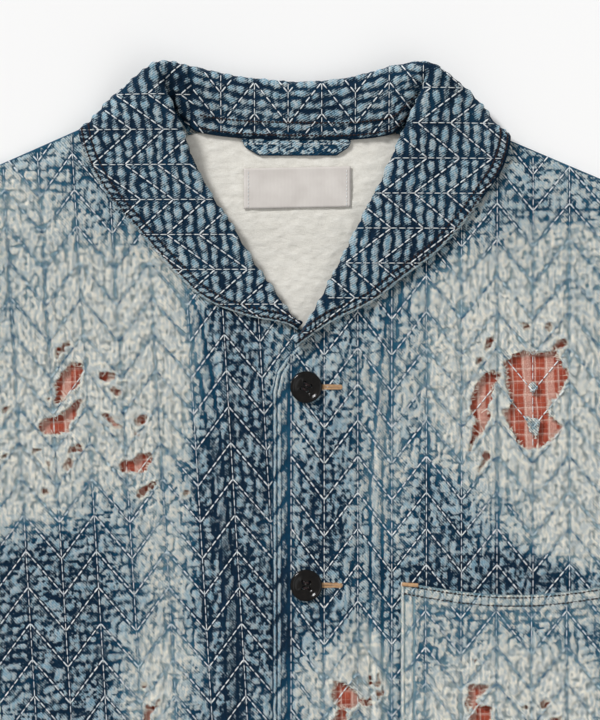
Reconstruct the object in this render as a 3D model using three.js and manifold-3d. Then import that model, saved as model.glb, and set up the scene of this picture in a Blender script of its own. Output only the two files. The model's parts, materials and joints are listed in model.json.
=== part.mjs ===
// Patched boro jacket with a shawl collar, laid flat on its back with its front buttoned.
// Millimetres. +Z is up from the surface it lies on, +Y runs from hem to collar, and +X is
// the wearer's left. The origin is on that surface, at the middle of the laid-out jacket.
import * as THREE from "three";
import Module from "manifold-3d";
import { mergeVertices } from "three/addons/utils/BufferGeometryUtils.js";

const wasm = await Module();
wasm.setup();

// ---- Driving dimensions ------------------------------------------------------------------

const HEM_Y = -372; // hem at the centre front
const HEM_RISE = 6; // how far the hem climbs towards the side seams
const HALF_CHEST = 300;
const SHOULDER_TIP_X = 265;
const UNDERARM_Y = 38;
const ARMHOLE_CURVE = 2.6; // how late the armhole turns out towards the underarm

const FRONT_EDGE_X = -19; // edge of the wearer's left front, which lies on top
const UNDER_EDGE_X = 22; // edge of the wearer's right front, hidden under it
const BUTTON_X = 3;
const FIRST_BUTTON_Y = 166.4;
const BUTTON_PITCH = 128.7;
const BUTTONS = 4;

const CLOTH = 2.0; // stitched denim with its backing
const COLLAR_CLOTH = 2.6;
const LINING_CLOTH = 1.0;
const PATCH_CLOTH = 0.9;
const LABEL_CLOTH = 0.6;
const LOOP_CLOTH = 1.4;
const SEAM_GAP = 0.4;

const BODY_GAP = 2.2; // hollow between the back and the fronts
const NECK_LIFT = 3.4; // the back fall of the collar lies under the neck and raises it
const OVERLAP_LIFT = 3.6; // the buttoned front stands this much higher on the under front
const RIDGE_X = 50; // the inner edge of each facing shows as a ridge
const RIDGE_HALF = 4.5;
const RIDGE_HEIGHT = 1.2;

const SLEEVE_LENGTH = 555;
const SLEEVE_DROP = THREE.MathUtils.degToRad(52); // below level, as the sleeves are laid
const SLEEVE_BULGE = 45; // the top fold stands this far out from the shoulder tip
const CUFF_WIDTH = 135;
const SLEEVE_HEIGHT = 7.2;
const ARM_GAP = 0.8; // the armhole curves, so this leaves 0.3 at its closest
const UPPER_HANDLES = { shoulder: [95, -40], cuff: 230 }; // reach of the top fold's curve at each end
const UNDER_HANDLES = { arm: [30, -45], cuff: 150 }; // and of the underarm fold's
const SLEEVE_WIDTH = 200; // about the middle of its length

const INK = { dark: 0x1f4463, pale: 0xa9b4b6, cream: 0xd8d2c4, black: 0x14110f, brick: 0xa24a38 };

// ---- Small helpers -----------------------------------------------------------------------

const clamp01 = (t) => Math.min(1, Math.max(0, t));
const ease = (from, to, x) => THREE.MathUtils.smoothstep(x, from, to);
const mix = (a, b, t) => a + (b - a) * t;
const steps = (n) => Array.from({ length: n + 1 }, (_, i) => i / n);

function solidFrom(geometry) {
  const bare = geometry.index ? geometry.toNonIndexed() : geometry.clone();
  bare.deleteAttribute("normal");
  bare.deleteAttribute("uv");
  const merged = mergeVertices(bare, 1e-4);
  return new wasm.Manifold(
    new wasm.Mesh({
      numProp: 3,
      vertProperties: new Float32Array(merged.attributes.position.array),
      triVerts: new Uint32Array(merged.index.array),
    }),
  );
}

function geometryFrom(solid) {
  const mesh = solid.getMesh();
  const geometry = new THREE.BufferGeometry();
  geometry.setAttribute("position", new THREE.BufferAttribute(mesh.vertProperties, 3));
  geometry.setIndex(new THREE.BufferAttribute(mesh.triVerts, 1));
  return geometry;
}

function largestBody(solid) {
  return solid.decompose().reduce((best, s) => (s.volume() > best.volume() ? s : best));
}

// A closed geometry from a grid of quads: points is a list of rows, each row closed or open.
function gridGeometry(rows, { closeRows = false, closeColumns = false, flip = false } = {}) {
  const width = rows[0].length;
  const index = [];
  const rowCount = closeColumns ? rows.length : rows.length - 1;
  const columnCount = closeRows ? width : width - 1;
  for (let i = 0; i < rowCount; i += 1) {
    for (let j = 0; j < columnCount; j += 1) {
      const a = i * width + j;
      const b = i * width + ((j + 1) % width);
      const c = ((i + 1) % rows.length) * width + ((j + 1) % width);
      const d = ((i + 1) % rows.length) * width + j;
      index.push(...(flip ? [a, c, b, a, d, c] : [a, b, c, a, c, d]));
    }
  }
  const geometry = new THREE.BufferGeometry();
  const flat = rows.flat().flatMap((p) => [p.x, p.y, p.z]);
  geometry.setAttribute("position", new THREE.Float32BufferAttribute(flat, 3));
  geometry.setIndex(index);
  return geometry;
}

// A sheet of cloth between two surfaces given as matching grids: its faces and its rim.
function sheetSolid(upper, lower) {
  // Each row runs out along the upper face and back along the lower one, so that the rows
  // close on themselves; the two end rims are a strip of quads each.
  const rows = upper.map((row, i) => [...row, ...[...lower[i]].reverse()]);
  const skin = gridGeometry(rows, { closeRows: true });
  const width = upper[0].length;
  const index = [...skin.index.array];
  for (const [row, flip] of [[0, true], [rows.length - 1, false]]) {
    const start = row * 2 * width;
    for (let j = 0; j < width - 1; j += 1) {
      const a = start + j;
      const b = start + j + 1;
      const c = start + 2 * width - 2 - j;
      const d = start + 2 * width - 1 - j;
      index.push(...(flip ? [a, c, b, a, d, c] : [a, b, c, a, c, d]));
    }
  }
  skin.setIndex(index);
  const solid = solidFrom(skin);
  if (solid.volume() > 0) return solid;
  for (let i = 0; i < index.length; i += 3) [index[i + 1], index[i + 2]] = [index[i + 2], index[i + 1]];
  skin.setIndex(index);
  return solidFrom(skin);
}

const BELOW = -20;
const ABOVE = 80;

// A tall prism standing on an outline, for cutting cloth to shape.
function cutter(outline) {
  const shape = new THREE.Shape(outline.map(([x, y]) => new THREE.Vector2(x, y)));
  const prism = new THREE.ExtrudeGeometry(shape, { depth: ABOVE - BELOW, bevelEnabled: false });
  prism.translate(0, 0, BELOW);
  return solidFrom(prism);
}

// Cloth lying on bottom(x, y), shaped by an outline: a slab through the given grid lines,
// cut to the outline.
function cutCloth(xs, ys, bottom, thickness, outline) {
  const face = (raise) => xs.map((x) => ys.map((y) => new THREE.Vector3(x, y, bottom(x, y) + raise)));
  return sheetSolid(face(thickness), face(0)).intersect(cutter(outline));
}

// ---- Outlines of the flat pieces ---------------------------------------------------------

// side is -1 for the wearer's right and +1 for the left.
const shoulderY = (x) => (x < 0 ? 335 - 0.4375 * (-x - 142) : 325.7 - 0.421 * (x - 138));
const hemY = (x) => HEM_Y + HEM_RISE * (x / HALF_CHEST) ** 2;

function armhole(side, t) {
  const tip = shoulderY(side * SHOULDER_TIP_X);
  const out = SHOULDER_TIP_X + (HALF_CHEST - SHOULDER_TIP_X) * t ** ARMHOLE_CURVE;
  return [side * out, mix(tip, UNDERARM_Y, t)];
}

const armholeLine = (side) => steps(8).map((t) => armhole(side, t));

// Neck edge of each front, from the shoulder seam down to where the collar starts to roll.
const rightNeck = [
  [-138, shoulderY(-138)], [-93, 350], [-92, 331], [-85, 306], [-71.6, 284.2], [-54.3, 264],
  [-38.7, 243.2], [-23.6, 227.4], [-9, 208.6], [4, 201], [15, 196], [UNDER_EDGE_X, 187],
];
const leftNeck = [
  [130, shoulderY(130)], [85, 347], [83.5, 341], [80.8, 329.5], [74.8, 311.4], [66.9, 292.8],
  [54.1, 273.6], [40.3, 251.8], [27.5, 234], [16.2, 219], [5, 201], [-3, 193], [-10, 186],
  [-16, 177], [FRONT_EDGE_X, 164],
];
const backNeck = [
  [130, shoulderY(130)], [84, 347], [76, 344], [66, 337], [50, 333], [25, 331], [-4, 330.5],
  [-33, 331.5], [-60, 334], [-78, 341], [-90, 349], [-138, shoulderY(-138)],
];

const hemLine = (from, to) => steps(4).map((t) => [mix(from, to, t), hemY(mix(from, to, t))]);

const backOutline = [
  ...hemLine(-HALF_CHEST, HALF_CHEST),
  ...armholeLine(1).reverse(),
  ...backNeck,
  ...armholeLine(-1),
];
const rightFrontOutline = [
  ...hemLine(-HALF_CHEST, UNDER_EDGE_X),
  ...[...rightNeck].reverse(),
  ...armholeLine(-1),
];
const leftFrontOutline = [
  ...hemLine(FRONT_EDGE_X, HALF_CHEST),
  ...armholeLine(1).reverse(),
  ...leftNeck,
];
const liningOutline = [
  [-30, 178], [34, 178], [62, 225], [88, 300], [78, 322], [62, 331], [30, 328.5], [-4, 328],
  [-36, 329], [-66, 332], [-86, 322], [-98, 300], [-70, 225],
];

// ---- Heights of the layers ---------------------------------------------------------------

const neckLift = (x, y) => NECK_LIFT * ease(240, 285, y) * (1 - ease(120, 190, Math.abs(x + 4)));

const backBottom = (x, y) => neckLift(x, y);
const liningBottom = (x, y) => backBottom(x, y) + CLOTH + SEAM_GAP;

const SEAM_DROP = BODY_GAP - SEAM_GAP;
function frontBottom(x, y) {
  const atSide = (1 - ease(0, 24, HALF_CHEST - Math.abs(x))) * (1 - ease(20, 60, y));
  const atShoulder = 1 - ease(2, 18, shoulderY(x) - y);
  const ridge = RIDGE_HEIGHT * clamp01(1.6 - 1.6 * Math.abs(Math.abs(x) - RIDGE_X) / RIDGE_HALF);
  return neckLift(x, y) + CLOTH + BODY_GAP - SEAM_DROP * Math.max(atSide, atShoulder) + ridge;
}
const leftFrontBottom = (x, y) => frontBottom(x, y) + OVERLAP_LIFT * (1 - ease(25, 46, x));

// ---- Holes worn through the denim, and the checked patches behind them -------------------

const chestHoleLeft = [
  [131, 183], [139, 189], [152, 189], [166, 191], [170, 180], [174, 172], [168, 161], [162, 148],
  [170, 140], [161, 130], [148, 125], [138, 135], [130, 150], [137, 157], [133, 174],
];
const chestHoleLeftLower = [
  [111, 161], [116, 172], [126, 177], [131, 175], [126, 167], [125, 159], [121, 152], [124, 149],
  [121, 141], [111, 126], [110, 133], [113, 145], [109, 151],
];
const chestHoleRight = [
  [-161, 167], [-155, 177], [-148, 183], [-143, 181], [-143, 173], [-149, 165], [-154, 158],
  [-161, 155],
];
const chestHoleRightLower = [
  [-171, 141], [-166, 147], [-157, 149], [-147, 157], [-141, 158], [-146, 148], [-153, 136],
  [-166, 135],
];
const waistHoleRight = [
  [-119, 114], [-118, 118], [-109, 120], [-101, 124], [-97, 122], [-100, 113], [-109, 110],
];
const hemHoleLeft = [[20, -26], [30, -27], [37, -33], [36, -41], [24, -41], [19, -35]];
const pocketHole = [[108, -27], [121, -27], [118, -33], [112, -39], [106, -39]];

const PATCH_DEPTH = SEAM_GAP + PATCH_CLOTH;
const rectangle = (x0, y0, x1, y1) => [[x0, y0], [x1, y0], [x1, y1], [x0, y1]];

// ---- Patch pocket on the wearer's left front ---------------------------------------------

const POCKET = { left: 64.4, right: 212, top: 40, bottom: -129, sag: 8.5, corner: 14 };
const POCKET_BULGE = 1.4;

function pocketOutline() {
  const { left, right, top, bottom, sag, corner } = POCKET;
  const mouth = steps(10).map((t) => [mix(right, left, t), top - sag * Math.sin(Math.PI * t)]);
  return [
    [left, bottom + corner], [left + 4, bottom + 4], [left + corner, bottom],
    [right - corner, bottom], [right - 4, bottom + 4], [right, bottom + corner], ...mouth,
  ];
}

function pocketBottom(x, y) {
  const { left, right, bottom } = POCKET;
  const inset = Math.min(x - left, right - x, y - bottom);
  return leftFrontBottom(x, y) + CLOTH + SEAM_GAP + POCKET_BULGE * ease(0, 14, inset);
}

// ---- Shawl collar ------------------------------------------------------------------------

// Stations along the roll line, from the wearer's right front round the neck to the left.
// turn is the way the cloth crosses the roll line: 90 rises over it and lies on the front,
// -90 goes down behind it and lies under the back. fold is the size of the roll, and push
// carries the fall out round the shoulder.
//  neck seam         roll line           turn fold push  outer edge
const collarStations = [
  [[-3, 204.6, 5.4], [0.5, 208, 8.6], 90, 3, 0, [-3, 204, 9.6]],
  [[-9.4, 209.4, 5.4], [-7, 212.4, 9.2], 90, 3.6, 0, [-11.5, 208.6, 9.4]],
  [[-23.4, 228, 5.4], [-20.2, 230.8, 10], 90, 4.5, 0, [-36.4, 213.2, 9]],
  [[-38.4, 243.7, 5.5], [-32.5, 247.7, 10.6], 90, 5, 0, [-63.7, 224.3, 8.8]],
  [[-54, 264.5, 7.4], [-45.5, 270, 12.6], 90, 5, 0, [-85.8, 244.4, 9]],
  [[-71.3, 284.6, 8.7], [-59.8, 291.2, 14], 90, 5.5, 0, [-107.3, 269.1, 11.2]],
  [[-84.8, 306.2, 9], [-70.5, 312, 15.5], 90, 6, 0, [-125.5, 290.2, 12.4]],
  [[-91.5, 329, 9.8], [-80, 338, 18.5], 80, 7, 0, [-139, 313, 12.6]],
  [[-92, 343, 10.8], [-88.5, 358, 23], 60, 8, 0, [-144.5, 332.5, 12]],
  [[-89, 349, 11.4], [-92, 369, 27], 30, 9, 19, [-138, 327, 1.6]],
  [[-84, 349, 11], [-91, 374, 28], 0, 10, 17, [-115, 319, 1.5]],
  [[-78, 341, 10], [-83, 375, 25], -35, 10, 9, [-90, 306, 1.4]],
  [[-68, 332.5, 8.8], [-69, 372.5, 17], -70, 8, 2, [-66, 297, 1.4]],
  [[-38, 328, 8.4], [-38, 366.5, 11], -90, 8, 0, [-36, 290, 1.4]],
  [[-3, 327, 8.4], [0, 363.5, 10.5], -90, 8, 0, [-3, 287, 1.4]],
  [[30, 327, 8.4], [32, 366.5, 11], -90, 8, 0, [28, 290, 1.4]],
  [[57, 330.5, 8.8], [60, 373.5, 17], -70, 8, 2, [56, 297, 1.4]],
  [[68, 339, 10], [74, 375, 25], -35, 10, 9, [80, 306, 1.4]],
  [[75, 346, 11], [82, 373.5, 28], 0, 10, 17, [105, 319, 1.5]],
  [[80, 346, 11.4], [83, 367.5, 27], 30, 9, 19, [128, 325, 1.6]],
  [[83, 340, 10.8], [78, 355, 23], 60, 8, 0, [135.5, 328.5, 12]],
  [[80.3, 328.5, 9.8], [67.5, 334, 18.5], 80, 7, 0, [130.8, 309, 12.6]],
  [[74.3, 311, 9], [60.5, 317.5, 15.8], 90, 6, 0, [120, 292.5, 12.6]],
  [[66.4, 292.4, 8.8], [53, 300, 14.6], 90, 6, 0, [107.9, 275.3, 12]],
  [[53.6, 273.2, 8], [42.3, 280.2, 13.6], 90, 5.5, 0, [88.4, 254.2, 10.4]],
  [[39.8, 251.4, 6.2], [31, 257, 12], 90, 5, 0, [66, 237.4, 9.6]],
  [[27, 233.6, 5.7], [20.8, 237.9, 12], 90, 5, 0, [46.2, 221.7, 10]],
  [[15.7, 218.7, 7], [12.4, 221.7, 13], 90, 4.5, 0, [20.8, 209.3, 12.4]],
  [[4.6, 202.6, 9.5], [3.6, 206, 14], 90, 3.6, 0, [4.5, 199, 14.6]],
  [[-3.4, 194.4, 10], [-5, 196.5, 13.6], 90, 3, 0, [-3.6, 192.6, 14.4]],
];
const COLLAR_MIDDLE = new THREE.Vector2(-4, 335);
const REACH = 0.45; // share of the fall that lies flat before its edge

function cubic(a, b, c, d, t) {
  const s = 1 - t;
  return new THREE.Vector3()
    .addScaledVector(a, s * s * s)
    .addScaledVector(b, 3 * s * s * t)
    .addScaledVector(c, 3 * s * t * t)
    .addScaledVector(d, t * t * t);
}

// The four control points of the stand and of the fall at one station.
function collarControls([neck, roll, turn, fold, push, edge]) {
  const [N, R, E] = [neck, roll, edge].map((p) => new THREE.Vector3(...p));
  const out = new THREE.Vector2(R.x, R.y).sub(COLLAR_MIDDLE).normalize();
  const angle = THREE.MathUtils.degToRad(turn);
  const across = new THREE.Vector3(out.x * Math.cos(angle), out.y * Math.cos(angle), Math.sin(angle));
  const before = R.clone().addScaledVector(across, -fold);
  const after = R.clone().addScaledVector(across, fold);
  const lift = N.clone().lerp(before, 0.4);
  const flat = new THREE.Vector3(
    mix(E.x, R.x, REACH) + push * out.x,
    mix(E.y, R.y, REACH) + push * out.y,
    E.z + (turn > 0 && push === 0 ? 2.2 : 0),
  );
  return [N, lift, before, R, after, flat, E];
}

const STAND_STEPS = 5;
const FALL_STEPS = 7;

function collarRows(stationCount) {
  const controls = collarStations.map(collarControls);
  const through = (points) => new THREE.CatmullRomCurve3(points, false, "catmullrom", 0.5);
  const along = controls[0].map((_, k) => through(controls.map((c) => c[k])));
  return steps(stationCount).map((t) => {
    const c = along.map((curve) => curve.getPoint(t));
    const stand = steps(STAND_STEPS).map((s) => cubic(c[0], c[1], c[2], c[3], s));
    const fall = steps(FALL_STEPS).slice(1).map((s) => cubic(c[3], c[4], c[5], c[6], s));
    return [...stand, ...fall];
  });
}

// Moves each point of a grid along the surface's own normal.
function offsetRows(rows, distance) {
  const within = (i, count) => Math.min(count - 1, Math.max(0, i));
  const at = (i, j) => rows[within(i, rows.length)][within(j, rows[0].length)];
  return rows.map((row, i) =>
    row.map((p, j) => {
      const along = at(i + 1, j).clone().sub(at(i - 1, j));
      const across = at(i, j + 1).clone().sub(at(i, j - 1));
      return p.clone().addScaledVector(along.cross(across).normalize(), distance);
    }),
  );
}

// Carries a list of points on past both of its ends.
function extended(points, reach) {
  const past = (end, inner) => end.clone().addScaledVector(end.clone().sub(inner).normalize(), reach);
  return [past(points[0], points[1]), ...points, past(points.at(-1), points.at(-2))];
}

const COLLAR_STEPS = 54;
function collarSolid(rows, thickness) {
  const face = (distance) =>
    offsetRows(rows, distance).map((row) => row.map((p) => p.setZ(Math.max(p.z, 0))));
  return sheetSolid(face(thickness / 2), face(-thickness / 2));
}

// Carries a grid on past all four of its sides.
function grown(rows, reach) {
  const wide = rows.map((row) => extended(row, reach));
  const columns = wide[0].map((_, j) => extended(wide.map((row) => row[j]), reach));
  return columns[0].map((_, i) => columns.map((column) => column[i]));
}

// ---- Sleeves -----------------------------------------------------------------------------

function sleeveFrame(side) {
  const [tipX, tipY] = armhole(side, 0);
  const along = new THREE.Vector2(side * Math.cos(SLEEVE_DROP), -Math.sin(SLEEVE_DROP));
  const inward = new THREE.Vector2(-side * Math.sin(SLEEVE_DROP), -Math.cos(SLEEVE_DROP));
  const tip = new THREE.Vector2(tipX + side * ARM_GAP, tipY);
  const [armX, armY] = armhole(side, 1);
  const arm = new THREE.Vector2(armX + side * ARM_GAP, armY);
  const cuffTop = tip.clone().addScaledVector(along, SLEEVE_LENGTH).addScaledVector(inward, -SLEEVE_BULGE);
  const cuffUnder = cuffTop.clone().addScaledVector(inward, CUFF_WIDTH);
  const upper = new THREE.CubicBezierCurve(
    tip,
    tip.clone().add(new THREE.Vector2(side * UPPER_HANDLES.shoulder[0], UPPER_HANDLES.shoulder[1])),
    cuffTop.clone().addScaledVector(along, -UPPER_HANDLES.cuff),
    cuffTop,
  );
  const under = new THREE.CubicBezierCurve(
    arm,
    arm.clone().add(new THREE.Vector2(side * UNDER_HANDLES.arm[0], UNDER_HANDLES.arm[1])),
    cuffUnder.clone().addScaledVector(along, -UNDER_HANDLES.cuff),
    cuffUnder,
  );
  return { upper, under, tip, arm, cuffTop, cuffUnder };
}

// A point of the laid sleeve: t runs from armhole to cuff, c from the top fold to the underarm.
function sleevePoint(side, frame, t, c) {
  const [armX, armY] = armhole(side, c);
  const hole = new THREE.Vector2(armX + side * ARM_GAP, armY);
  const cuff = frame.cuffTop.clone().lerp(frame.cuffUnder, c);
  const edges = frame.upper.getPoint(t).lerp(frame.under.getPoint(t), c);
  const ends = hole.lerp(cuff, t);
  const corners = frame.tip.clone().lerp(frame.arm, c).lerp(cuff, t);
  return edges.add(ends).sub(corners);
}

function sleeveSolid(side) {
  const frame = sleeveFrame(side);
  const across = [0.03, 0.14, 0.3, 0.5, 0.7, 0.86, 0.97];
  const ring = (t, inset) => {
    const low = inset;
    const high = SLEEVE_HEIGHT - inset;
    const edge = inset / SLEEVE_WIDTH;
    const spread = across.map((c) => mix(edge, 1 - edge, c));
    const place = (c, z) => {
      const p = sleevePoint(side, frame, t, c);
      return new THREE.Vector3(p.x, p.y, z);
    };
    return [
      place(edge, SLEEVE_HEIGHT / 2),
      ...spread.map((c) => place(c, high)),
      place(1 - edge, SLEEVE_HEIGHT / 2),
      ...[...spread].reverse().map((c) => place(c, low)),
    ];
  };
  const along = steps(13);
  const rows = [...along.map((t) => ring(t, 0)), ...[...along].reverse().map((t) => ring(t, CLOTH))];
  const options = { closeRows: true, closeColumns: true };
  const solid = solidFrom(gridGeometry(rows, options));
  return solid.volume() > 0 ? solid : solidFrom(gridGeometry(rows, { ...options, flip: true }));
}

// ---- Hanger loop, label and buttons ------------------------------------------------------

const onLining = (x, y) => liningBottom(x, y) + LINING_CLOTH + SEAM_GAP;
const loopOutline = [
  [-27.6, 316.6], [22.7, 316.6], [30.5, 321.5], [32.5, 325.2], [-38.5, 325.2], [-36.5, 321.5],
];
const labelOutline = [[-38, 282.2], [31.5, 284.2], [32, 310], [-38.3, 308.6]];

const BUTTON = { radius: 10.5, thick: 3.6, rim: 1.9, dish: 0.9, hole: 0.9, holeRing: 2.3 };

function buttonSolid() {
  const { radius, thick, rim, dish, hole, holeRing } = BUTTON;
  const profile = [
    [0, 0], [radius - 2.4, 0], [radius - 0.9, 0.5], [radius, 1.7], [radius - 0.25, 2.9],
    [radius - 1, thick], [radius - rim, thick], [radius - rim - 0.9, thick - dish], [0, thick - dish - 0.15],
  ];
  const lathe = new THREE.LatheGeometry(profile.map(([r, z]) => new THREE.Vector2(r, z)), 28);
  lathe.rotateX(Math.PI / 2);
  let body = solidFrom(lathe);
  for (let i = 0; i < 4; i += 1) {
    const drill = new THREE.CylinderGeometry(hole, hole, 3 * thick, 8);
    drill.rotateX(Math.PI / 2);
    drill.translate(holeRing * Math.cos((i * Math.PI) / 2), holeRing * Math.sin((i * Math.PI) / 2), 0);
    body = body.subtract(solidFrom(drill));
  }
  return body;
}

// ---- The jacket --------------------------------------------------------------------------

const jacket = new THREE.Group();

function add(name, solid, color, roughness = 0.95) {
  const material = new THREE.MeshStandardMaterial({ color, roughness, metalness: 0 });
  const mesh = new THREE.Mesh(geometryFrom(solid), material);
  mesh.name = name;
  jacket.add(mesh);
  return mesh;
}

const collar = collarRows(COLLAR_STEPS);
const clearance = collarSolid(grown(collar, 3 * SEAM_GAP), COLLAR_CLOTH + 5 * SEAM_GAP);
const clearOfCollar = (solid) => largestBody(solid.subtract(clearance));
const worn = (solid, ...holes) => largestBody(holes.reduce((s, h) => s.subtract(cutter(h)), solid));

const rowsUp = [
  -390, -250, -129, -60, 0, 20, 40, 60, 100, 150, 195, 240, 252, 262, 273, 285, 305, 322, 340,
  360,
];
const backColumns = [
  -310, -276, -230, -190, -165, -145, -120, -60, 0, 60, 112, 137, 157, 182, 230, 276, 310,
];
add("back", clearOfCollar(cutCloth(backColumns, rowsUp, backBottom, CLOTH, backOutline)), INK.dark);

const liningColumns = [-105, -80, -40, 0, 40, 70, 95];
const lining = cutCloth(liningColumns, rowsUp, liningBottom, LINING_CLOTH, liningOutline);
add("back_lining", clearOfCollar(lining), INK.cream);

const sideColumns = [310, 294, 286, 276, 250, 190, 165, 145, 120, 90, 55.5, 52, 48, 44.5];
const rightColumns = [...sideColumns.map((x) => -x), -20, 0, 25];
const leftColumns = [-25, 0, 25, 35, 40, ...[...sideColumns].reverse()];
const rightFront = cutCloth(rightColumns, rowsUp, frontBottom, CLOTH, rightFrontOutline);
const leftFront = cutCloth(leftColumns, rowsUp, leftFrontBottom, CLOTH, leftFrontOutline);
const wornRight = worn(rightFront, chestHoleRight, chestHoleRightLower, waistHoleRight);
const wornLeft = worn(leftFront, chestHoleLeft, chestHoleLeftLower, hemHoleLeft);
add("front_right", clearOfCollar(wornRight), INK.pale);
add("front_left", clearOfCollar(wornLeft), INK.pale);

const patches = {
  patch_chest_right: [frontBottom, rectangle(-198, 86, -68, 206)],
  patch_waist_right: [frontBottom, rectangle(-112, -76, -84, -22)],
  patch_chest_left: [leftFrontBottom, rectangle(88, 98, 190, 222)],
  patch_front_edge: [leftFrontBottom, rectangle(15, -76, 62, -14)],
};
for (const [name, [under, outline]] of Object.entries(patches)) {
  const lines = (k) => [...new Set(outline.map((p) => p[k]))].sort((a, b) => a - b);
  const [x0, x1] = lines(0);
  const [y0, y1] = lines(1);
  const columns = [x0 - 1, ...leftColumns.concat(rightColumns).filter((x) => x > x0 && x < x1), x1 + 1];
  const sorted = [...new Set(columns)].sort((a, b) => a - b);
  const behind = (x, y) => under(x, y) - PATCH_DEPTH;
  add(name, cutCloth(sorted, [y0 - 1, y1 + 1], behind, PATCH_CLOTH, outline), INK.brick);
}

const pocketColumns = [60, 70, 80, 138, 198, 208, 216];
const pocketRows = [-135, -124, -115, -60, 0, 20, 40];
const pocket = cutCloth(pocketColumns, pocketRows, pocketBottom, CLOTH, pocketOutline());
add("pocket", worn(pocket, pocketHole), INK.pale);
const behindPocket = (x, y) => pocketBottom(x, y) - PATCH_DEPTH;
const pocketPatch = cutCloth([90, 180], [-90, 0], behindPocket, PATCH_CLOTH, rectangle(98, -76, 173, -4));
add("patch_pocket", pocketPatch, INK.brick);

add("collar", collarSolid(collar, COLLAR_CLOTH), INK.dark);
add("sleeve_right", sleeveSolid(-1), INK.pale);
add("sleeve_left", sleeveSolid(1), INK.pale);

const loop = cutCloth([-45, 0, 40], [312, 319, 328], onLining, LOOP_CLOTH, loopOutline);
add("hanger_loop", clearOfCollar(loop), INK.dark);
const label = cutCloth([-45, 40], [276, 285, 295, 305, 313], onLining, LABEL_CLOTH, labelOutline);
add("neck_label", label, INK.cream);

for (let i = 0; i < BUTTONS; i += 1) {
  const y = FIRST_BUTTON_Y - i * BUTTON_PITCH;
  const button = add(`button_${i + 1}`, buttonSolid(), INK.black, 0.25);
  button.position.set(BUTTON_X, y, leftFrontBottom(BUTTON_X, y) + CLOTH + SEAM_GAP);
}

export default jacket;
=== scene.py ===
"""A patched boro jacket with a shawl collar, laid flat and buttoned.

Run as a script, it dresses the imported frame: worn and stitched denim over every panel, checked
patches behind the holes, the collar, the pocket and the buttons. Lengths are in millimetres
until a mesh is made. X runs to the wearer's left, Y to the collar and Z up from the table.
"""

import json

import bpy
import numpy as np
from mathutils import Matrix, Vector
from mathutils.bvhtree import BVHTree
from mathutils.kdtree import KDTree

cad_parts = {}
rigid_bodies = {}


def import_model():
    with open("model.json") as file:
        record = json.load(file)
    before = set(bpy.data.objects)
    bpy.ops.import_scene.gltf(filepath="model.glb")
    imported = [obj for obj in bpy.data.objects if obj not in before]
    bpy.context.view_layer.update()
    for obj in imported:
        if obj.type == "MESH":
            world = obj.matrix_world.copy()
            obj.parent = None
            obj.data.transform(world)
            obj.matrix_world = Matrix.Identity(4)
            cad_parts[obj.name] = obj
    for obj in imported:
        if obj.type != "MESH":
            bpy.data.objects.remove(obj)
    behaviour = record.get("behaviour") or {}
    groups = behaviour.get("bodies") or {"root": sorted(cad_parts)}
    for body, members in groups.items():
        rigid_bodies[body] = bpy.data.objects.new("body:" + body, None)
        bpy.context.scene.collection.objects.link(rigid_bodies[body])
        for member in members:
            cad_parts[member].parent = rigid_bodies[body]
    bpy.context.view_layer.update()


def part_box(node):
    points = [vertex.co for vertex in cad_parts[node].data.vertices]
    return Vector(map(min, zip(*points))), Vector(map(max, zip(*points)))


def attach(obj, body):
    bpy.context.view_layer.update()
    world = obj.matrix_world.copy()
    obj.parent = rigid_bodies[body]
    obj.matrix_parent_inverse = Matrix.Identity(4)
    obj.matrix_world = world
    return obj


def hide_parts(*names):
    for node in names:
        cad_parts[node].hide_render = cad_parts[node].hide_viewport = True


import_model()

bl_info = {
    "name": "Patched Boro Jacket",
    "version": (1, 0, 0),
    "blender": (4, 5, 0),
    "location": "View3D > Sidebar > Jacket",
    "description": "Builds a stitched and patched denim jacket round its packed frame",
    "category": "Object",
}

MM = 0.001
ROOT = "root"

# ---- Settings in the sidebar ----------------------------------------------------------------


def linear(code):
    """A linear colour from its six hex digits."""
    parts = [int(code[i:i + 2], 16) / 255 for i in (0, 2, 4)]
    return (*(p / 12.92 if p <= 0.04045 else ((p + 0.055) / 1.055) ** 2.4 for p in parts), 1.0)


def length_setting(name, description, millimetres):
    return bpy.props.FloatProperty(name=name, description=description, default=millimetres * MM,
                                   min=0.0, soft_max=0.02, precision=5, unit="LENGTH")


def color_setting(name, description, code):
    return bpy.props.FloatVectorProperty(name=name, description=description, size=3, subtype="COLOR",
                                         default=linear(code)[:3], min=0.0, max=1.0)


class JacketSettings(bpy.types.PropertyGroup):
    """The sizes and colours of the cloth and its stitches"""

    stitch_length: length_setting("Stitch length", "Length of one sashiko stitch", 4.9)
    stitch_pitch: length_setting("Stitch pitch", "From one sashiko stitch to the next", 5.4)
    thread_width: length_setting("Thread width", "Width of the sashiko thread", 0.82)
    seam_thread_width: length_setting("Seam thread width", "Width of the brown seam thread", 1.1)
    pucker_height: length_setting("Pucker height", "Height of a pucker above its grooves", 1.5)
    collar_pucker_height: length_setting("Collar pucker height", "The same on the collar", 2.2)
    # The darkest groove colour; the grooves' dark is partly painted shade.
    indigo: color_setting("Indigo", "Deepest blue, in the grooves of the dark denim", "002842")
    worn: color_setting("Worn cotton", "Palest cream, on the ridges of the worn denim", "faf5e6")
    thread: color_setting("Sashiko thread", "White of the sashiko thread", "f2f4f3")
    brick: color_setting("Brick red", "Ground of the checked patches", "a44c38")
    shell: color_setting("Buttons", "Black of the buttons", "120f0d")


def settings():
    """The jacket's own sizes, in metres, and its colours."""
    return bpy.context.scene.jacket


# ---- Sizes shared with the frame -----------------------------------------------------------

HEM_Y = -372.0
HEM_RISE = 6.0
HALF_CHEST = 300.0
SHOULDER_TIP_X = 265.0
UNDERARM_Y = 38.0
ARMHOLE_CURVE = 2.6

FRONT_EDGE_X = -19.0
FIRST_COLUMN_X = -8.0
UNDER_EDGE_X = 22.0
BUTTONS = 4

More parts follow.
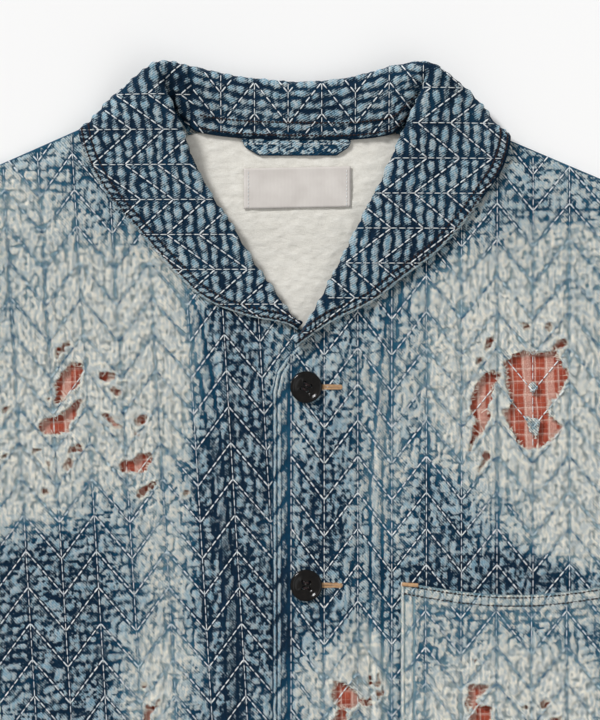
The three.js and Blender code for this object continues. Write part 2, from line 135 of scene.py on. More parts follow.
CLOTH = 2.0
COLLAR_CLOTH = 2.6
LINING_CLOTH = 1.0
PATCH_CLOTH = 0.9
SEAM_GAP = 0.4

BODY_GAP = 2.2
NECK_LIFT = 3.4
OVERLAP_LIFT = 3.6
RIDGE_X = 50.0
RIDGE_HALF = 4.5
RIDGE_HEIGHT = 1.2

SLEEVE_LENGTH = 555.0
SLEEVE_DROP = np.radians(52.0)
SLEEVE_BULGE = 45.0
SLEEVE_WIDTH = 235.0
CUFF_WIDTH = 135.0
SLEEVE_HEIGHT = 7.2
SLEEVE_HEM = 21
ARM_GAP = 0.8

POCKET = {"left": 64.4, "right": 212.0, "top": 40.0, "bottom": -129.0, "sag": 8.5, "corner": 14.0}
POCKET_BULGE = 1.4

# The part of the jacket seen closest gets the finest mesh.
CLOSE_UP = {"left": -200.0, "right": 200.0, "bottom": -56.0, "top": 380.0}
FINE = 1.6
COARSE = 6.0
PANEL_MARGIN = 2

# The sashiko pattern: zigzags stacked one on the other, with a running line up each column.
COLUMN_PITCH = 22.9
ROW_PITCH = 23.5
ZIGZAG_HEIGHT = 28.5
STITCH_INSET = 1.6

# How far from a thread the cloth is drawn down, and how far it stays dark.
TROUGH_WIDTH = 1.4
HALO_WIDTH = 2.1


# ---- Number helpers ------------------------------------------------------------------------

FAR_OFF = 1e9


def smooth(low, high, x):
    """0 below low, 1 above high, and an even curve between them."""
    t = np.clip((x - low) / (high - low), 0.0, 1.0)
    return t * t * (3.0 - 2.0 * t)


def mix(a, b, t):
    return a + (b - a) * t


def lattice(ix, iy, seed):
    """An even random number from 0 to 1 at each whole point."""
    n = np.sin(ix * 127.1 + iy * 311.7 + seed * 74.7) * 43758.5453
    return n - np.floor(n)


def noise(x, y, seed):
    """Smooth noise from -1 to 1 with a unit cell."""
    x, y = np.asarray(x, float), np.asarray(y, float)
    ix, iy = np.floor(x), np.floor(y)
    fx, fy = x - ix, y - iy
    ux, uy = (f**3 * (f * (6 * f - 15) + 10) for f in (fx, fy))

    def corner(dx, dy):
        turn = 2 * np.pi * lattice(ix + dx, iy + dy, seed)
        return np.cos(turn) * (fx - dx) + np.sin(turn) * (fy - dy)

    low = mix(corner(0, 0), corner(1, 0), ux)
    high = mix(corner(0, 1), corner(1, 1), ux)
    return 1.5 * mix(low, high, uy)


def soft_spots(x, y, spots):
    """The strongest of some soft ellipses: centre, half sizes and strength."""
    best = np.zeros_like(x)
    for cx, cy, rx, ry, strength in spots:
        distance = np.hypot((x - cx) / rx, (y - cy) / ry)
        best = np.maximum(best, strength * (1.0 - smooth(0.45, 1.25, distance)))
    return best


def distance_inside(outline, x, y):
    """How far each point lies inside a closed outline, negative outside it."""
    nearest = np.full(x.shape, FAR_OFF)
    inside = np.zeros(x.shape, bool)
    for (x0, y0), (x1, y1) in zip(outline, outline[1:] + outline[:1]):
        dx, dy = x1 - x0, y1 - y0
        along = np.clip(((x - x0) * dx + (y - y0) * dy) / (dx * dx + dy * dy + 1e-9), 0, 1)
        nearest = np.minimum(nearest, np.hypot(x - x0 - along * dx, y - y0 - along * dy))
        crosses = (y0 > y) != (y1 > y)
        if y1 != y0:
            inside ^= crosses & (x < x0 + (y - y0) * dx / dy)
    return np.where(inside, nearest, -nearest)


def smooth_loop(points, steps=5):
    """A closed outline rounded through its points."""
    p = np.array(points, float)
    before, after, second = np.roll(p, 1, 0), np.roll(p, -1, 0), np.roll(p, -2, 0)
    made = []
    for i in range(len(p)):
        for step in range(steps):
            made.append(tuple(catmull(before[i], p[i], after[i], second[i], step / steps)))
    return made


def catmull(a, b, c, d, t):
    """A place from b to c on the curve through all four."""
    square = (2 * a - 5 * b + 4 * c - d) * t**2
    cube = (3 * b - a - 3 * c + d) * t**3
    return 0.5 * (2 * b + (c - a) * t + square + cube)


def curve_through(points, t):
    """Points at each t from 0 to 1 on an open curve through a list of points."""
    p = np.array(points, float)
    p = np.vstack([2 * p[0] - p[1], p, 2 * p[-1] - p[-2]])
    where = np.clip(np.asarray(t, float), 0.0, 1.0) * (len(p) - 3)
    i = np.minimum(where.astype(int), len(p) - 4)
    w = (where - i)[..., None]
    return catmull(p[i], p[i + 1], p[i + 2], p[i + 3], w)


def cubic(a, b, c, d, t):
    """Points at each t from 0 to 1 on a curve from a to d, drawn towards b and c."""
    t = t[..., None]
    s = 1 - t
    return a * s**3 + 3 * b * s * s * t + 3 * c * s * t * t + d * t**3


def unit(v):
    return v / np.maximum(np.linalg.norm(v, axis=-1, keepdims=True), 1e-9)


# ---- Outlines ------------------------------------------------------------------------------


def shoulder_y(x):
    return np.where(x < 0, 335 - 0.4375 * (-x - 142), 325.7 - 0.421 * (x - 138))


def hem_y(x):
    return HEM_Y + HEM_RISE * (x / HALF_CHEST) ** 2


def armhole(side, t):
    """A point of the armhole, from the shoulder tip down to the underarm."""
    out = SHOULDER_TIP_X + (HALF_CHEST - SHOULDER_TIP_X) * t**ARMHOLE_CURVE
    return np.stack([side * out, mix(shoulder_y(side * SHOULDER_TIP_X), UNDERARM_Y, t)], -1)


def armhole_line(side):
    return [tuple(armhole(side, t)) for t in np.linspace(0, 1, 13)]


# The neck's edges start and end on the shoulder seams.
RIGHT_SEAM = (-138, float(shoulder_y(-138)))
LEFT_SEAM = (130, float(shoulder_y(130)))
RIGHT_NECK = [RIGHT_SEAM, (-93, 350), (-92, 331), (-85, 306), (-71.6, 284.2), (-54.3, 264),
              (-38.7, 243.2), (-23.6, 227.4), (-9, 208.6), (4, 201), (15, 196), (UNDER_EDGE_X, 187)]
LEFT_NECK = [LEFT_SEAM, (85, 347), (83.5, 341), (80.8, 329.5), (74.8, 311.4), (66.9, 292.8),
             (54.1, 273.6), (40.3, 251.8), (27.5, 234), (16.2, 219), (5, 201), (-3, 193),
             (-10, 186), (-16, 177), (FRONT_EDGE_X, 164)]
BACK_NECK = [LEFT_SEAM, (84, 347), (76, 344), (66, 337), (50, 333), (25, 331), (-4, 330.5),
             (-33, 331.5), (-60, 334), (-78, 341), (-90, 349), RIGHT_SEAM]
LINING = [(-30, 178), (34, 178), (62, 225), (88, 300), (78, 322), (62, 331), (30, 328.5),
          (-4, 328), (-36, 329), (-66, 332), (-86, 322), (-98, 300), (-70, 225)]


def hem_line(start, end):
    return [(x, float(hem_y(x))) for x in np.linspace(start, end, 9)]


BACK = [*hem_line(-HALF_CHEST, HALF_CHEST), *armhole_line(1)[::-1], *BACK_NECK, *armhole_line(-1)]
RIGHT_FRONT = [*hem_line(-HALF_CHEST, UNDER_EDGE_X), *RIGHT_NECK[::-1], *armhole_line(-1)]
LEFT_FRONT = [*hem_line(FRONT_EDGE_X, HALF_CHEST), *armhole_line(1)[::-1], *LEFT_NECK]


def rectangle(x0, y0, x1, y1):
    return [(x0, y0), (x1, y0), (x1, y1), (x0, y1)]


def pocket_mouth(x):
    """The sagging top edge of the pocket."""
    across = np.clip((x - POCKET["left"]) / (POCKET["right"] - POCKET["left"]), 0, 1)
    return POCKET["top"] - POCKET["sag"] * np.sin(np.pi * across)


def pocket_outline():
    left, right, bottom, corner = (POCKET[k] for k in ("left", "right", "bottom", "corner"))
    cut = 4
    foot = [(left, bottom + corner), (left + cut, bottom + cut), (left + corner, bottom),
            (right - corner, bottom), (right - cut, bottom + cut), (right, bottom + corner)]
    mouth_x = [mix(right, left, t) for t in np.linspace(0, 1, 21)]
    return [*foot, *((x, float(pocket_mouth(x))) for x in mouth_x)]


# ---- Heights of the layers -----------------------------------------------------------------


def neck_lift(x, y):
    return NECK_LIFT * smooth(240, 285, y) * (1 - smooth(120, 190, np.abs(x + 4)))


def lining_top(x, y):
    return neck_lift(x, y) + CLOTH + SEAM_GAP + LINING_CLOTH


def front_bottom(x, y):
    at_side = (1 - smooth(0, 24, HALF_CHEST - np.abs(x))) * (1 - smooth(20, 60, y))
    at_shoulder = 1 - smooth(2, 18, shoulder_y(x) - y)
    ridge = RIDGE_HEIGHT * np.clip(1.6 - 1.6 * np.abs(np.abs(x) - RIDGE_X) / RIDGE_HALF, 0, 1)
    drop = (BODY_GAP - SEAM_GAP) * np.maximum(at_side, at_shoulder)
    return neck_lift(x, y) + CLOTH + BODY_GAP - drop + ridge


def right_top(x, y):
    return front_bottom(x, y) + CLOTH


def left_top(x, y):
    return front_bottom(x, y) + OVERLAP_LIFT * (1 - smooth(25, 46, x)) + CLOTH


def pocket_top(x, y):
    inset = np.minimum(np.minimum(x - POCKET["left"], POCKET["right"] - x), y - POCKET["bottom"])
    return left_top(x, y) + SEAM_GAP + CLOTH + POCKET_BULGE * smooth(0, 14, inset)


# ---- Holes ---------------------------------------------------------------------------------

# Each is a worn hole through the denim, listed by the panel that it is in.
HOLES = {
    "front_left": [
        [(131, 183), (135, 185), (139, 189), (146, 190), (152, 189), (159, 189), (166, 191), (168, 185),
         (170, 180), (174, 176), (173, 171), (170, 166), (168, 161), (163, 157), (161, 153), (162, 148),
         (166, 145), (170, 140), (166, 135), (161, 130), (155, 127), (151, 126), (148, 125), (142, 129),
         (138, 135), (135, 140), (133, 145), (130, 150), (134, 153), (137, 157), (135, 162), (133, 167),
         (133, 174), (132, 179)],
        [(111, 161), (113, 166), (116, 172), (121, 176), (126, 177), (131, 175), (128, 171), (126, 167),
         (124, 164), (125, 159), (122, 155), (121, 152), (124, 149), (122, 145), (121, 141), (118, 137),
         (114, 133), (111, 126), (109, 126), (110, 133), (111, 140), (113, 145), (111, 148), (109, 151),
         (110, 157)],
        [(117, 124), (122, 125), (124, 123), (122, 119), (120, 116), (117, 112), (115, 112), (116, 116),
         (118, 120)],
        [(120, 198), (126, 200), (125, 195), (122, 191), (119, 189), (119, 193)],
        [(114, 185), (118, 186), (118, 183), (114, 181)],
        [(143, 208), (148, 207), (149, 204), (145, 204)],
        [(159, 207), (162, 209), (164, 206), (162, 203), (159, 203)],
        [(162, 192), (166, 196), (172, 198), (172, 193), (169, 191), (164, 191)],
        [(20, -26), (22, -24), (25, -25), (30, -27), (33, -29), (37, -33), (37, -37), (36, -41),
         (33, -43), (30, -42), (24, -41), (21, -38), (19, -35), (20, -31)],
        [(24, -41), (29, -42), (30, -47), (29, -53), (26, -56), (22, -55), (20, -50), (22, -46)],
        [(43, -21), (44, -19), (45, -22), (46, -27), (44, -28), (43, -25)],
        [(49, -20), (51, -21), (52, -27), (51, -30), (48, -29), (47, -27), (49, -24)],
        [(48, -32), (50, -31), (53, -31), (53, -34), (51, -37), (49, -36)],
        [(39, -36), (41, -35), (42, -37), (45, -35), (45, -41), (42, -42), (40, -41), (38, -38)],
    ],
    "front_right": [
        [(-161, 167), (-159, 172), (-155, 177), (-151, 181), (-148, 183), (-143, 181), (-142, 177),
         (-143, 173), (-144, 168), (-146, 166), (-149, 165), (-150, 162), (-153, 160), (-154, 158),
         (-158, 156), (-161, 155), (-161, 159), (-160, 163)],
        [(-171, 141), (-169, 145), (-166, 147), (-161, 147), (-157, 149), (-152, 153), (-147, 157),
         (-141, 158), (-144, 153), (-146, 148), (-150, 142), (-151, 138), (-153, 136), (-160, 135),
         (-166, 135), (-170, 138)],
        [(-161, 191), (-158, 193), (-155, 194), (-151, 197), (-150, 194), (-153, 192), (-155, 189),
         (-158, 185), (-160, 187)],
        [(-133, 176), (-127, 176), (-121, 176), (-122, 172), (-124, 170), (-127, 170), (-130, 171),
         (-132, 174)],
        [(-125, 166), (-121, 167), (-117, 163), (-118, 161), (-122, 161), (-125, 164)],
        [(-129, 150), (-125, 150), (-125, 148), (-122, 147), (-122, 144), (-118, 142), (-117, 140),
         (-121, 139), (-124, 142), (-127, 145), (-129, 147)],
        [(-109, 144), (-107, 147), (-101, 148), (-101, 144), (-103, 141), (-107, 141)],
        [(-175, 125), (-173, 127), (-167, 126), (-170, 125), (-174, 123)],
        [(-152, 125), (-150, 128), (-143, 129), (-142, 127), (-144, 124), (-149, 124), (-151, 122)],
        [(-154, 118), (-149, 120), (-148, 116), (-152, 112), (-155, 113)],
        [(-119, 114), (-118, 118), (-113, 119), (-109, 120), (-107, 123), (-101, 124), (-97, 122),
         (-98, 118), (-100, 113), (-105, 111), (-109, 110), (-114, 110), (-118, 111)],
        [(-107, 99), (-104, 101), (-100, 104), (-94, 106), (-95, 102), (-99, 99), (-101, 96),
         (-104, 93), (-107, 95)],
        [(-170, 100), (-165, 100), (-165, 97), (-169, 97)],
        [(-78, 99), (-73, 100), (-72, 97), (-76, 95)],
        [(-109, 137), (-105, 137), (-106, 134)],
        [(-167, 119), (-163, 117), (-164, 112), (-165, 115)],
        [(-195, 152), (-193, 153), (-189, 154), (-190, 152), (-191, 150), (-193, 149), (-195, 149)],
        [(-196, 121), (-193, 123), (-191, 124), (-191, 122), (-193, 120), (-195, 120)],
        [(-167, 159), (-165, 160), (-163, 160), (-164, 157), (-165, 157)],
        [(-104, -27), (-102, -25), (-100, -27), (-101, -29), (-103, -29)],
        [(-101, -41), (-100, -40), (-97, -41), (-92, -36), (-92, -40), (-96, -43), (-97, -46),
         (-99, -51), (-101, -55), (-103, -52), (-102, -46)],
    ],
    "pocket": [
        [(108, -27), (121, -27), (121, -30), (118, -33), (114, -37), (112, -39), (110, -44), (109, -45),
         (106, -39), (108, -36), (109, -32)],
        [(111, -45), (113, -41), (118, -40), (123, -41), (124, -45), (124, -50), (123, -55), (116, -57),
         (109, -55), (108, -50)],
        [(110, -10), (114, -11), (113, -13), (111, -13)],
        [(155, -38), (161, -37), (160, -42), (155, -42)],
        [(143, -40), (148, -41), (147, -43), (144, -43)],
        [(162, -48), (169, -48), (168, -53), (163, -53)],
    ],
}
# Scraps of cloth still held by the stitches inside a hole.
SCRAPS = {
    "front_left": [
        [(149, 168), (151, 170), (153, 169), (154, 166), (152, 163), (149, 164)],
        [(145, 147), (149, 146), (155, 146), (154, 140), (152, 133), (150, 136), (148, 141)],
    ],
}


def torn(panel, x, y):
    """How far outside the nearest hole of a panel each point is, with a ragged edge."""
    away = np.full(x.shape, FAR_OFF)
    for outline in HOLES.get(panel, []):
        away = np.minimum(away, -distance_inside(smooth_loop(outline, 3), x, y))
    for outline in SCRAPS.get(panel, []):
        away = np.maximum(away, distance_inside(smooth_loop(outline, 3), x, y))
    return away + 1.1 * noise(x / 3.4, y / 3.4, 61) + 0.9 * noise(x / 1.5, y / 1.5, 62)


# ---- Meshes --------------------------------------------------------------------------------


def new_object(name, points, faces, material=None, attributes=None):
    """A smooth mesh object from points in millimetres."""
    mesh = bpy.data.meshes.new(name)
    corners = [list(map(int, face)) for face in faces]
    mesh.from_pydata((np.asarray(points, float) * MM).tolist(), [], corners)
    for key, values in (attributes or {}).items():
        layer = mesh.attributes.new(key, "FLOAT", "POINT")
        layer.data.foreach_set("value", np.asarray(values, np.float32))
    mesh.polygons.foreach_set("use_smooth", [True] * len(mesh.polygons))
    mesh.update()
    obj = bpy.data.objects.new(name, mesh)
    bpy.context.scene.collection.objects.link(obj)
    if material:
        mesh.materials.append(material)
    return obj


def cloth_values(count, **given):
    """What the denim reads at each of count points, with zeros for anything not given."""
    keys = ("relief", "fade", "edge", "halo", "coarse")
    return {key: np.broadcast_to(np.ravel(given.get(key, 0.0)), count) for key in keys}


def grid_faces(shape, closed=False):
    """The quads of a grid of points, which may close on itself across its second side."""
    index = np.arange(np.prod(shape)).reshape(shape)
    after = np.roll(index, -1, axis=1)
    quads = np.stack([index[:-1], index[1:], after[1:], after[:-1]], -1)
    if not closed:
        quads = quads[:, :-1]
    return quads.reshape(-1, 4)


def stand_in(obj, slot, *nodes):
    """Makes a piece part of the jacket, in place of its CAD nodes."""
    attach(obj, ROOT)
    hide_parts(*nodes)


def thicken(obj, thickness, offset=-1.0):
    """Gives a sheet its thickness, and closes its edge."""
    wall = obj.modifiers.new("Wall", "SOLIDIFY")
    wall.thickness = thickness * MM
    wall.offset = offset
    wall.use_rim = True
    wall.use_even_offset = False
    apply_modifiers(obj)


def apply_modifiers(obj):
    evaluated = obj.evaluated_get(bpy.context.evaluated_depsgraph_get())
    mesh = bpy.data.meshes.new_from_object(evaluated)
    old = obj.data
    obj.modifiers.clear()
    obj.data = mesh
    mesh.name = obj.name
    bpy.data.meshes.remove(old)


def grid_lines(low, high, fine_low, fine_high, fine, coarse):
    """Grid lines from low to high, close together between fine_low and fine_high."""
    stops = sorted({low, high, min(max(fine_low, low), high), min(max(fine_high, low), high)})
    lines = [low]
    for a, b in zip(stops, stops[1:]):
        pitch = fine if fine_low - 0.1 <= a and b <= fine_high + 0.1 else coarse
        count = max(1, round((b - a) / pitch))
        lines.extend(np.linspace(a, b, count + 1)[1:])
    return np.array(lines)


def trimmed_grid(xs, ys, keep):
    """The triangles of a grid where keep(x, y) is above zero, cut along its zero line."""
    x, y = (g.ravel() for g in np.meshgrid(xs, ys, indexing="ij"))
    value = keep(x, y)
    step = 0.05
    slope_x = (keep(x + step, y) - value) / step
    slope_y = (keep(x, y + step) - value) / step
    steep = np.maximum(slope_x**2 + slope_y**2, 0.25)
    pitch_x = np.repeat(np.gradient(xs), len(ys))
    pitch_y = np.tile(np.gradient(ys), len(xs))
    pitch = 0.33 * np.minimum(pitch_x, pitch_y)
    snap = np.abs(value) < pitch
    x = np.where(snap, x - value * slope_x / steep, x)
    y = np.where(snap, y - value * slope_y / steep, y)
    value = np.where(snap, 0.0, value)

    i, j = np.meshgrid(np.arange(len(xs) - 1), np.arange(len(ys) - 1), indexing="ij")
    a = (i * len(ys) + j).ravel()
    b, c, d = a + len(ys), a + len(ys) + 1, a + 1
    even = ((i + j) % 2 == 0).ravel()
    first = np.where(even[:, None], np.stack([a, b, c], 1), np.stack([a, b, d], 1))
    second = np.where(even[:, None], np.stack([a, c, d], 1), np.stack([b, c, d], 1))
    triangles = np.vstack([first, second])

    signs = np.sign(value)[triangles]
    whole = (signs >= 0).all(1) & (signs > 0).any(1)
    cut = (signs < 0).any(1) & (signs > 0).any(1)
    faces = triangles[whole].tolist()
    points = [x, y]
    extra, made = [], {}

    def crossing(p, q):
        key = (min(p, q), max(p, q))
        if key not in made:
            t = value[p] / (value[p] - value[q])
            made[key] = len(x) + len(extra)
            extra.append((mix(x[p], x[q], t), mix(y[p], y[q], t)))
        return made[key]

    for corners in triangles[cut]:
        ring = []
        for p, q in zip(corners, np.roll(corners, -1)):
            if value[p] >= 0:
                ring.append(int(p))
            if value[p] * value[q] < 0:
                ring.append(crossing(p, q))
        for k in range(1, len(ring) - 1):
            faces.append([ring[0], ring[k], ring[k + 1]])
    if extra:
        points = [np.concatenate([old, new]) for old, new in zip((x, y), zip(*extra))]
    faces = np.array(faces)
    used = np.unique(faces)
    renumber = np.zeros(len(points[0]), int)
    renumber[used] = np.arange(len(used))
    return points[0][used], points[1][used], renumber[faces]


# ---- Puckers and fading --------------------------------------------------------------------


def beads(along, across, seed, pitch=6.4, length=5.6, wander=1.0, deep=0.6):
    """Ridges a pitch apart, pinched into beads: 0 in a groove and 1 on a crown."""
    bend = 1.8 * noise(along / 17, across / 22, seed)
    bend = bend + 1.0 * noise(along / 6.5, across / 7, seed + 1)
    across = across + wander * bend
    row = np.floor(across / pitch)
    ridge = np.sin(np.pi * (across / pitch - row)) ** 0.8
    start = lattice(row, row * 0, seed + 2)
    turn = 2 * np.pi * (along / length + start) + 2.6 * noise(along / 9, row * 3.3, seed + 3)
    return ridge * (1 - deep * (0.5 - 0.5 * np.cos(turn)))


def worms(along, across, seed):
    """Puckers parted by thin grooves that wander, longer along than across."""
    across = across + 2.0 * noise(along / 14, across / 14, seed)
    field = noise(across / 4.4, along / 7.0, seed + 1)
    field = field + 0.55 * noise(across / 2.7, along / 3.8, seed + 2)
    return 1.12 * (1 - np.exp(-3.4 * np.abs(field)))


def puckers(along, across, seed):
    """Worn quilting: rows of beads broken up by wandering grooves."""
    rows = beads(along, across, seed, wander=1.5)
    loose = worms(along, across, seed + 5)
    share = np.clip(0.55 + 0.5 * noise(along / 24, across / 24, seed + 9), 0, 1)
    return mix(rows, loose, share)


def front_puckers(x, y):
    """Upright at the middle of the front, level at the shoulders, and broken up elsewhere."""
    upright = puckers(y, x, 11)
    level = puckers(x, y, 23)
    to_shoulder = smooth(75, 15, shoulder_y(x) - y) * smooth(70, 120, np.abs(x))
    low_right = smooth(-70, -130, x) * smooth(120, 60, y)
    patchy = 0.5 * smooth(90, 150, np.abs(x)) * smooth(-0.1, 0.5, noise(x / 35, y / 35, 5))
    return mix(upright, level, smooth(0.25, 0.75, to_shoulder + 0.85 * low_right + patchy))


CREAM_SPOTS = [
    (-128, 170, 92, 78, 1.0), (-188, 120, 60, 60, 0.85), (-120, 225, 70, 45, 0.8),
    (142, 170, 72, 92, 1.0), (186, 104, 56, 64, 1.1), (120, 228, 60, 30, 0.75),
    (30, -30, 34, 44, 0.9), (60, 150, 26, 90, 0.3), (138, -40, 66, 46, 1.0),
    (-90, -28, 34, 44, 0.75), (-84, 90, 26, 80, 0.45), (180, 250, 60, 30, 0.6),
    (-200, 260, 70, 60, 0.6), (210, 190, 40, 110, 0.55), (-40, -200, 120, 60, 0.6),
    (170, -240, 90, 70, 0.7), (-220, -150, 70, 90, 0.6),
]
DARK_SPOTS = [
    (-48, 120, 30, 200, 0.9), (14, 70, 20, 130, 0.48), (-174, 22, 62, 62, 0.62),
    (-150, -30, 50, 36, 0.5), (125, 44, 76, 17, 0.8), (90, 84, 30, 44, 0.3),
    (-30, 20, 34, 60, 0.6), (72, 250, 34, 24, 0.55), (-60, -60, 30, 60, 0.6),
    (68, 30, 8, 40, 0.4),
]


def front_fade(x, y):
    """0 where the indigo is deep and 1 where it is worn to cream."""
    fade = 0.35 + soft_spots(x, y, CREAM_SPOTS) * 0.76 - soft_spots(x, y, DARK_SPOTS) * 0.62
    fade = fade + 0.10 * noise(x / 38, y / 38, 71) + 0.10 * noise(x / 16, y / 16, 72)
    return np.clip(fade, 0, 1)


# ---- Stitch lines --------------------------------------------------------------------------


def dashes(start, end):
    """The middles and directions of the stitches along a straight line."""
    period, length = settings().stitch_pitch / MM, settings().stitch_length / MM
    run = np.subtract(end, start)
    total = float(np.hypot(*run))
    count = max(1, round(total / period))
    centres = (np.arange(count) + 0.5) / count
    scale = min(1.0, total / count / period)
    return [(*(np.array(start) + run * c), *(run / total), length * scale) for c in centres]


def sashiko(x_low, x_high, y_low, y_high, first_x, first_y, keep, lean=0.0,
            column=COLUMN_PITCH, growth=0.0, row=ROW_PITCH, tall=ZIGZAG_HEIGHT):
    """Stitches of the whole pattern: x, y, direction and length, and whether it is a zigzag."""
    made = []
    first_column, last_column = (int((x - first_x) // column) for x in (x_low, x_high))
    first_row, last_row = (int((y - first_y) // row) for y in (y_low, y_high))
    rows = range(first_row - 2, last_row + 3)
    for i in range(first_column - 1, last_column + 2):
        x0 = first_x + i * column + growth * i * i
        x1 = first_x + (i + 1) * column + growth * (i + 1) ** 2

        def at(x, y):
            return x + lean * (y - first_y), y

        for dash in dashes(at(x0, y_low - 5), at(x0, y_high + 5)):
            made.append((*dash, 0.0))
        for k in rows:
            middle = first_y + k * row
            up = tall / 2 * (1 if i % 2 == 0 else -1)
            for dash in dashes(at(x0, middle + up), at(x1, middle - up)):
                made.append((*dash, 1.0))
    made = np.array(made)
    inside = keep(made[:, 0], made[:, 1]) > STITCH_INSET
    return made[inside]


def anywhere(x, y):
    """A test that keeps every stitch."""
    return np.full(x.shape, FAR_OFF)


# ---- The shawl collar ----------------------------------------------------------------------

# Stations along the roll line: neck seam, roll line, turn of the cloth over the roll, size
# of the roll, push of the fall round the shoulder, and outer edge.
COLLAR_STATIONS = [
    ((-3, 204.6, 5.4), (0.5, 208, 8.6), 90, 3, 0, (-3, 204, 9.6)),
    ((-9.4, 209.4, 5.4), (-7, 212.4, 9.2), 90, 3.6, 0, (-11.5, 208.6, 9.4)),
    ((-23.4, 228, 5.4), (-20.2, 230.8, 10), 90, 4.5, 0, (-36.4, 213.2, 9)),
    ((-38.4, 243.7, 5.5), (-32.5, 247.7, 10.6), 90, 5, 0, (-63.7, 224.3, 8.8)),
    ((-54, 264.5, 7.4), (-45.5, 270, 12.6), 90, 5, 0, (-85.8, 244.4, 9)),
    ((-71.3, 284.6, 8.7), (-59.8, 291.2, 14), 90, 5.5, 0, (-107.3, 269.1, 11.2)),
    ((-84.8, 306.2, 9), (-70.5, 312, 15.5), 90, 6, 0, (-125.5, 290.2, 12.4)),
    ((-91.5, 329, 9.8), (-80, 338, 18.5), 80, 7, 0, (-139, 313, 12.6)),
    ((-92, 343, 10.8), (-88.5, 358, 23), 60, 8, 0, (-144.5, 332.5, 12)),
    ((-89, 349, 11.4), (-92, 369, 27), 30, 9, 19, (-138, 327, 1.6)),
    ((-84, 349, 11), (-91, 374, 28), 0, 10, 17, (-115, 319, 1.5)),
    ((-78, 341, 10), (-83, 375, 25), -35, 10, 9, (-90, 306, 1.4)),
    ((-68, 332.5, 8.8), (-69, 372.5, 17), -70, 8, 2, (-66, 297, 1.4)),
    ((-38, 328, 8.4), (-38, 366.5, 11), -90, 8, 0, (-36, 290, 1.4)),
    ((-3, 327, 8.4), (0, 363.5, 10.5), -90, 8, 0, (-3, 287, 1.4)),
    ((30, 327, 8.4), (32, 366.5, 11), -90, 8, 0, (28, 290, 1.4)),
    ((57, 330.5, 8.8), (60, 373.5, 17), -70, 8, 2, (56, 297, 1.4)),
    ((68, 339, 10), (74, 375, 25), -35, 10, 9, (80, 306, 1.4)),
    ((75, 346, 11), (82, 373.5, 28), 0, 10, 17, (105, 319, 1.5)),
    ((80, 346, 11.4), (83, 367.5, 27), 30, 9, 19, (128, 325, 1.6)),
    ((83, 340, 10.8), (78, 355, 23), 60, 8, 0, (135.5, 328.5, 12)),
    ((80.3, 328.5, 9.8), (67.5, 334, 18.5), 80, 7, 0, (130.8, 309, 12.6)),
    ((74.3, 311, 9), (60.5, 317.5, 15.8), 90, 6, 0, (120, 292.5, 12.6)),
    ((66.4, 292.4, 8.8), (53, 300, 14.6), 90, 6, 0, (107.9, 275.3, 12)),
    ((53.6, 273.2, 8), (42.3, 280.2, 13.6), 90, 5.5, 0, (88.4, 254.2, 10.4)),
    ((39.8, 251.4, 6.2), (31, 257, 12), 90, 5, 0, (66, 237.4, 9.6)),
    ((27, 233.6, 5.7), (20.8, 237.9, 12), 90, 5, 0, (46.2, 221.7, 10)),
    ((15.7, 218.7, 7), (12.4, 221.7, 13), 90, 4.5, 0, (20.8, 209.3, 12.4)),
    ((4.6, 202.6, 9.5), (3.6, 206, 14), 90, 3.6, 0, (4.5, 199, 14.6)),
    ((-3.4, 194.4, 10), (-5, 196.5, 13.6), 90, 3, 0, (-3.6, 192.6, 14.4)),
]
COLLAR_MIDDLE = np.array([-4.0, 335.0])
COLLAR_STEPS = 600
REACH = 0.45


def collar_controls(station):
    """The control points of the stand and the fall at one station."""
    neck, roll, turn, fold, push, edge = station
    neck, roll, edge = (np.array(p, float) for p in (neck, roll, edge))
    out = unit(roll[:2] - COLLAR_MIDDLE)
    angle = np.radians(turn)
    across = np.array([*(out * np.cos(angle)), np.sin(angle)])
    before, after = roll - fold * across, roll + fold * across
    flat = mix(edge, roll, REACH)
    flat[:2] += push * out
    flat[2] = edge[2] + (2.2 if turn > 0 and push == 0 else 0.0)
    return [neck, mix(neck, before, 0.4), before, roll, after, flat, edge]


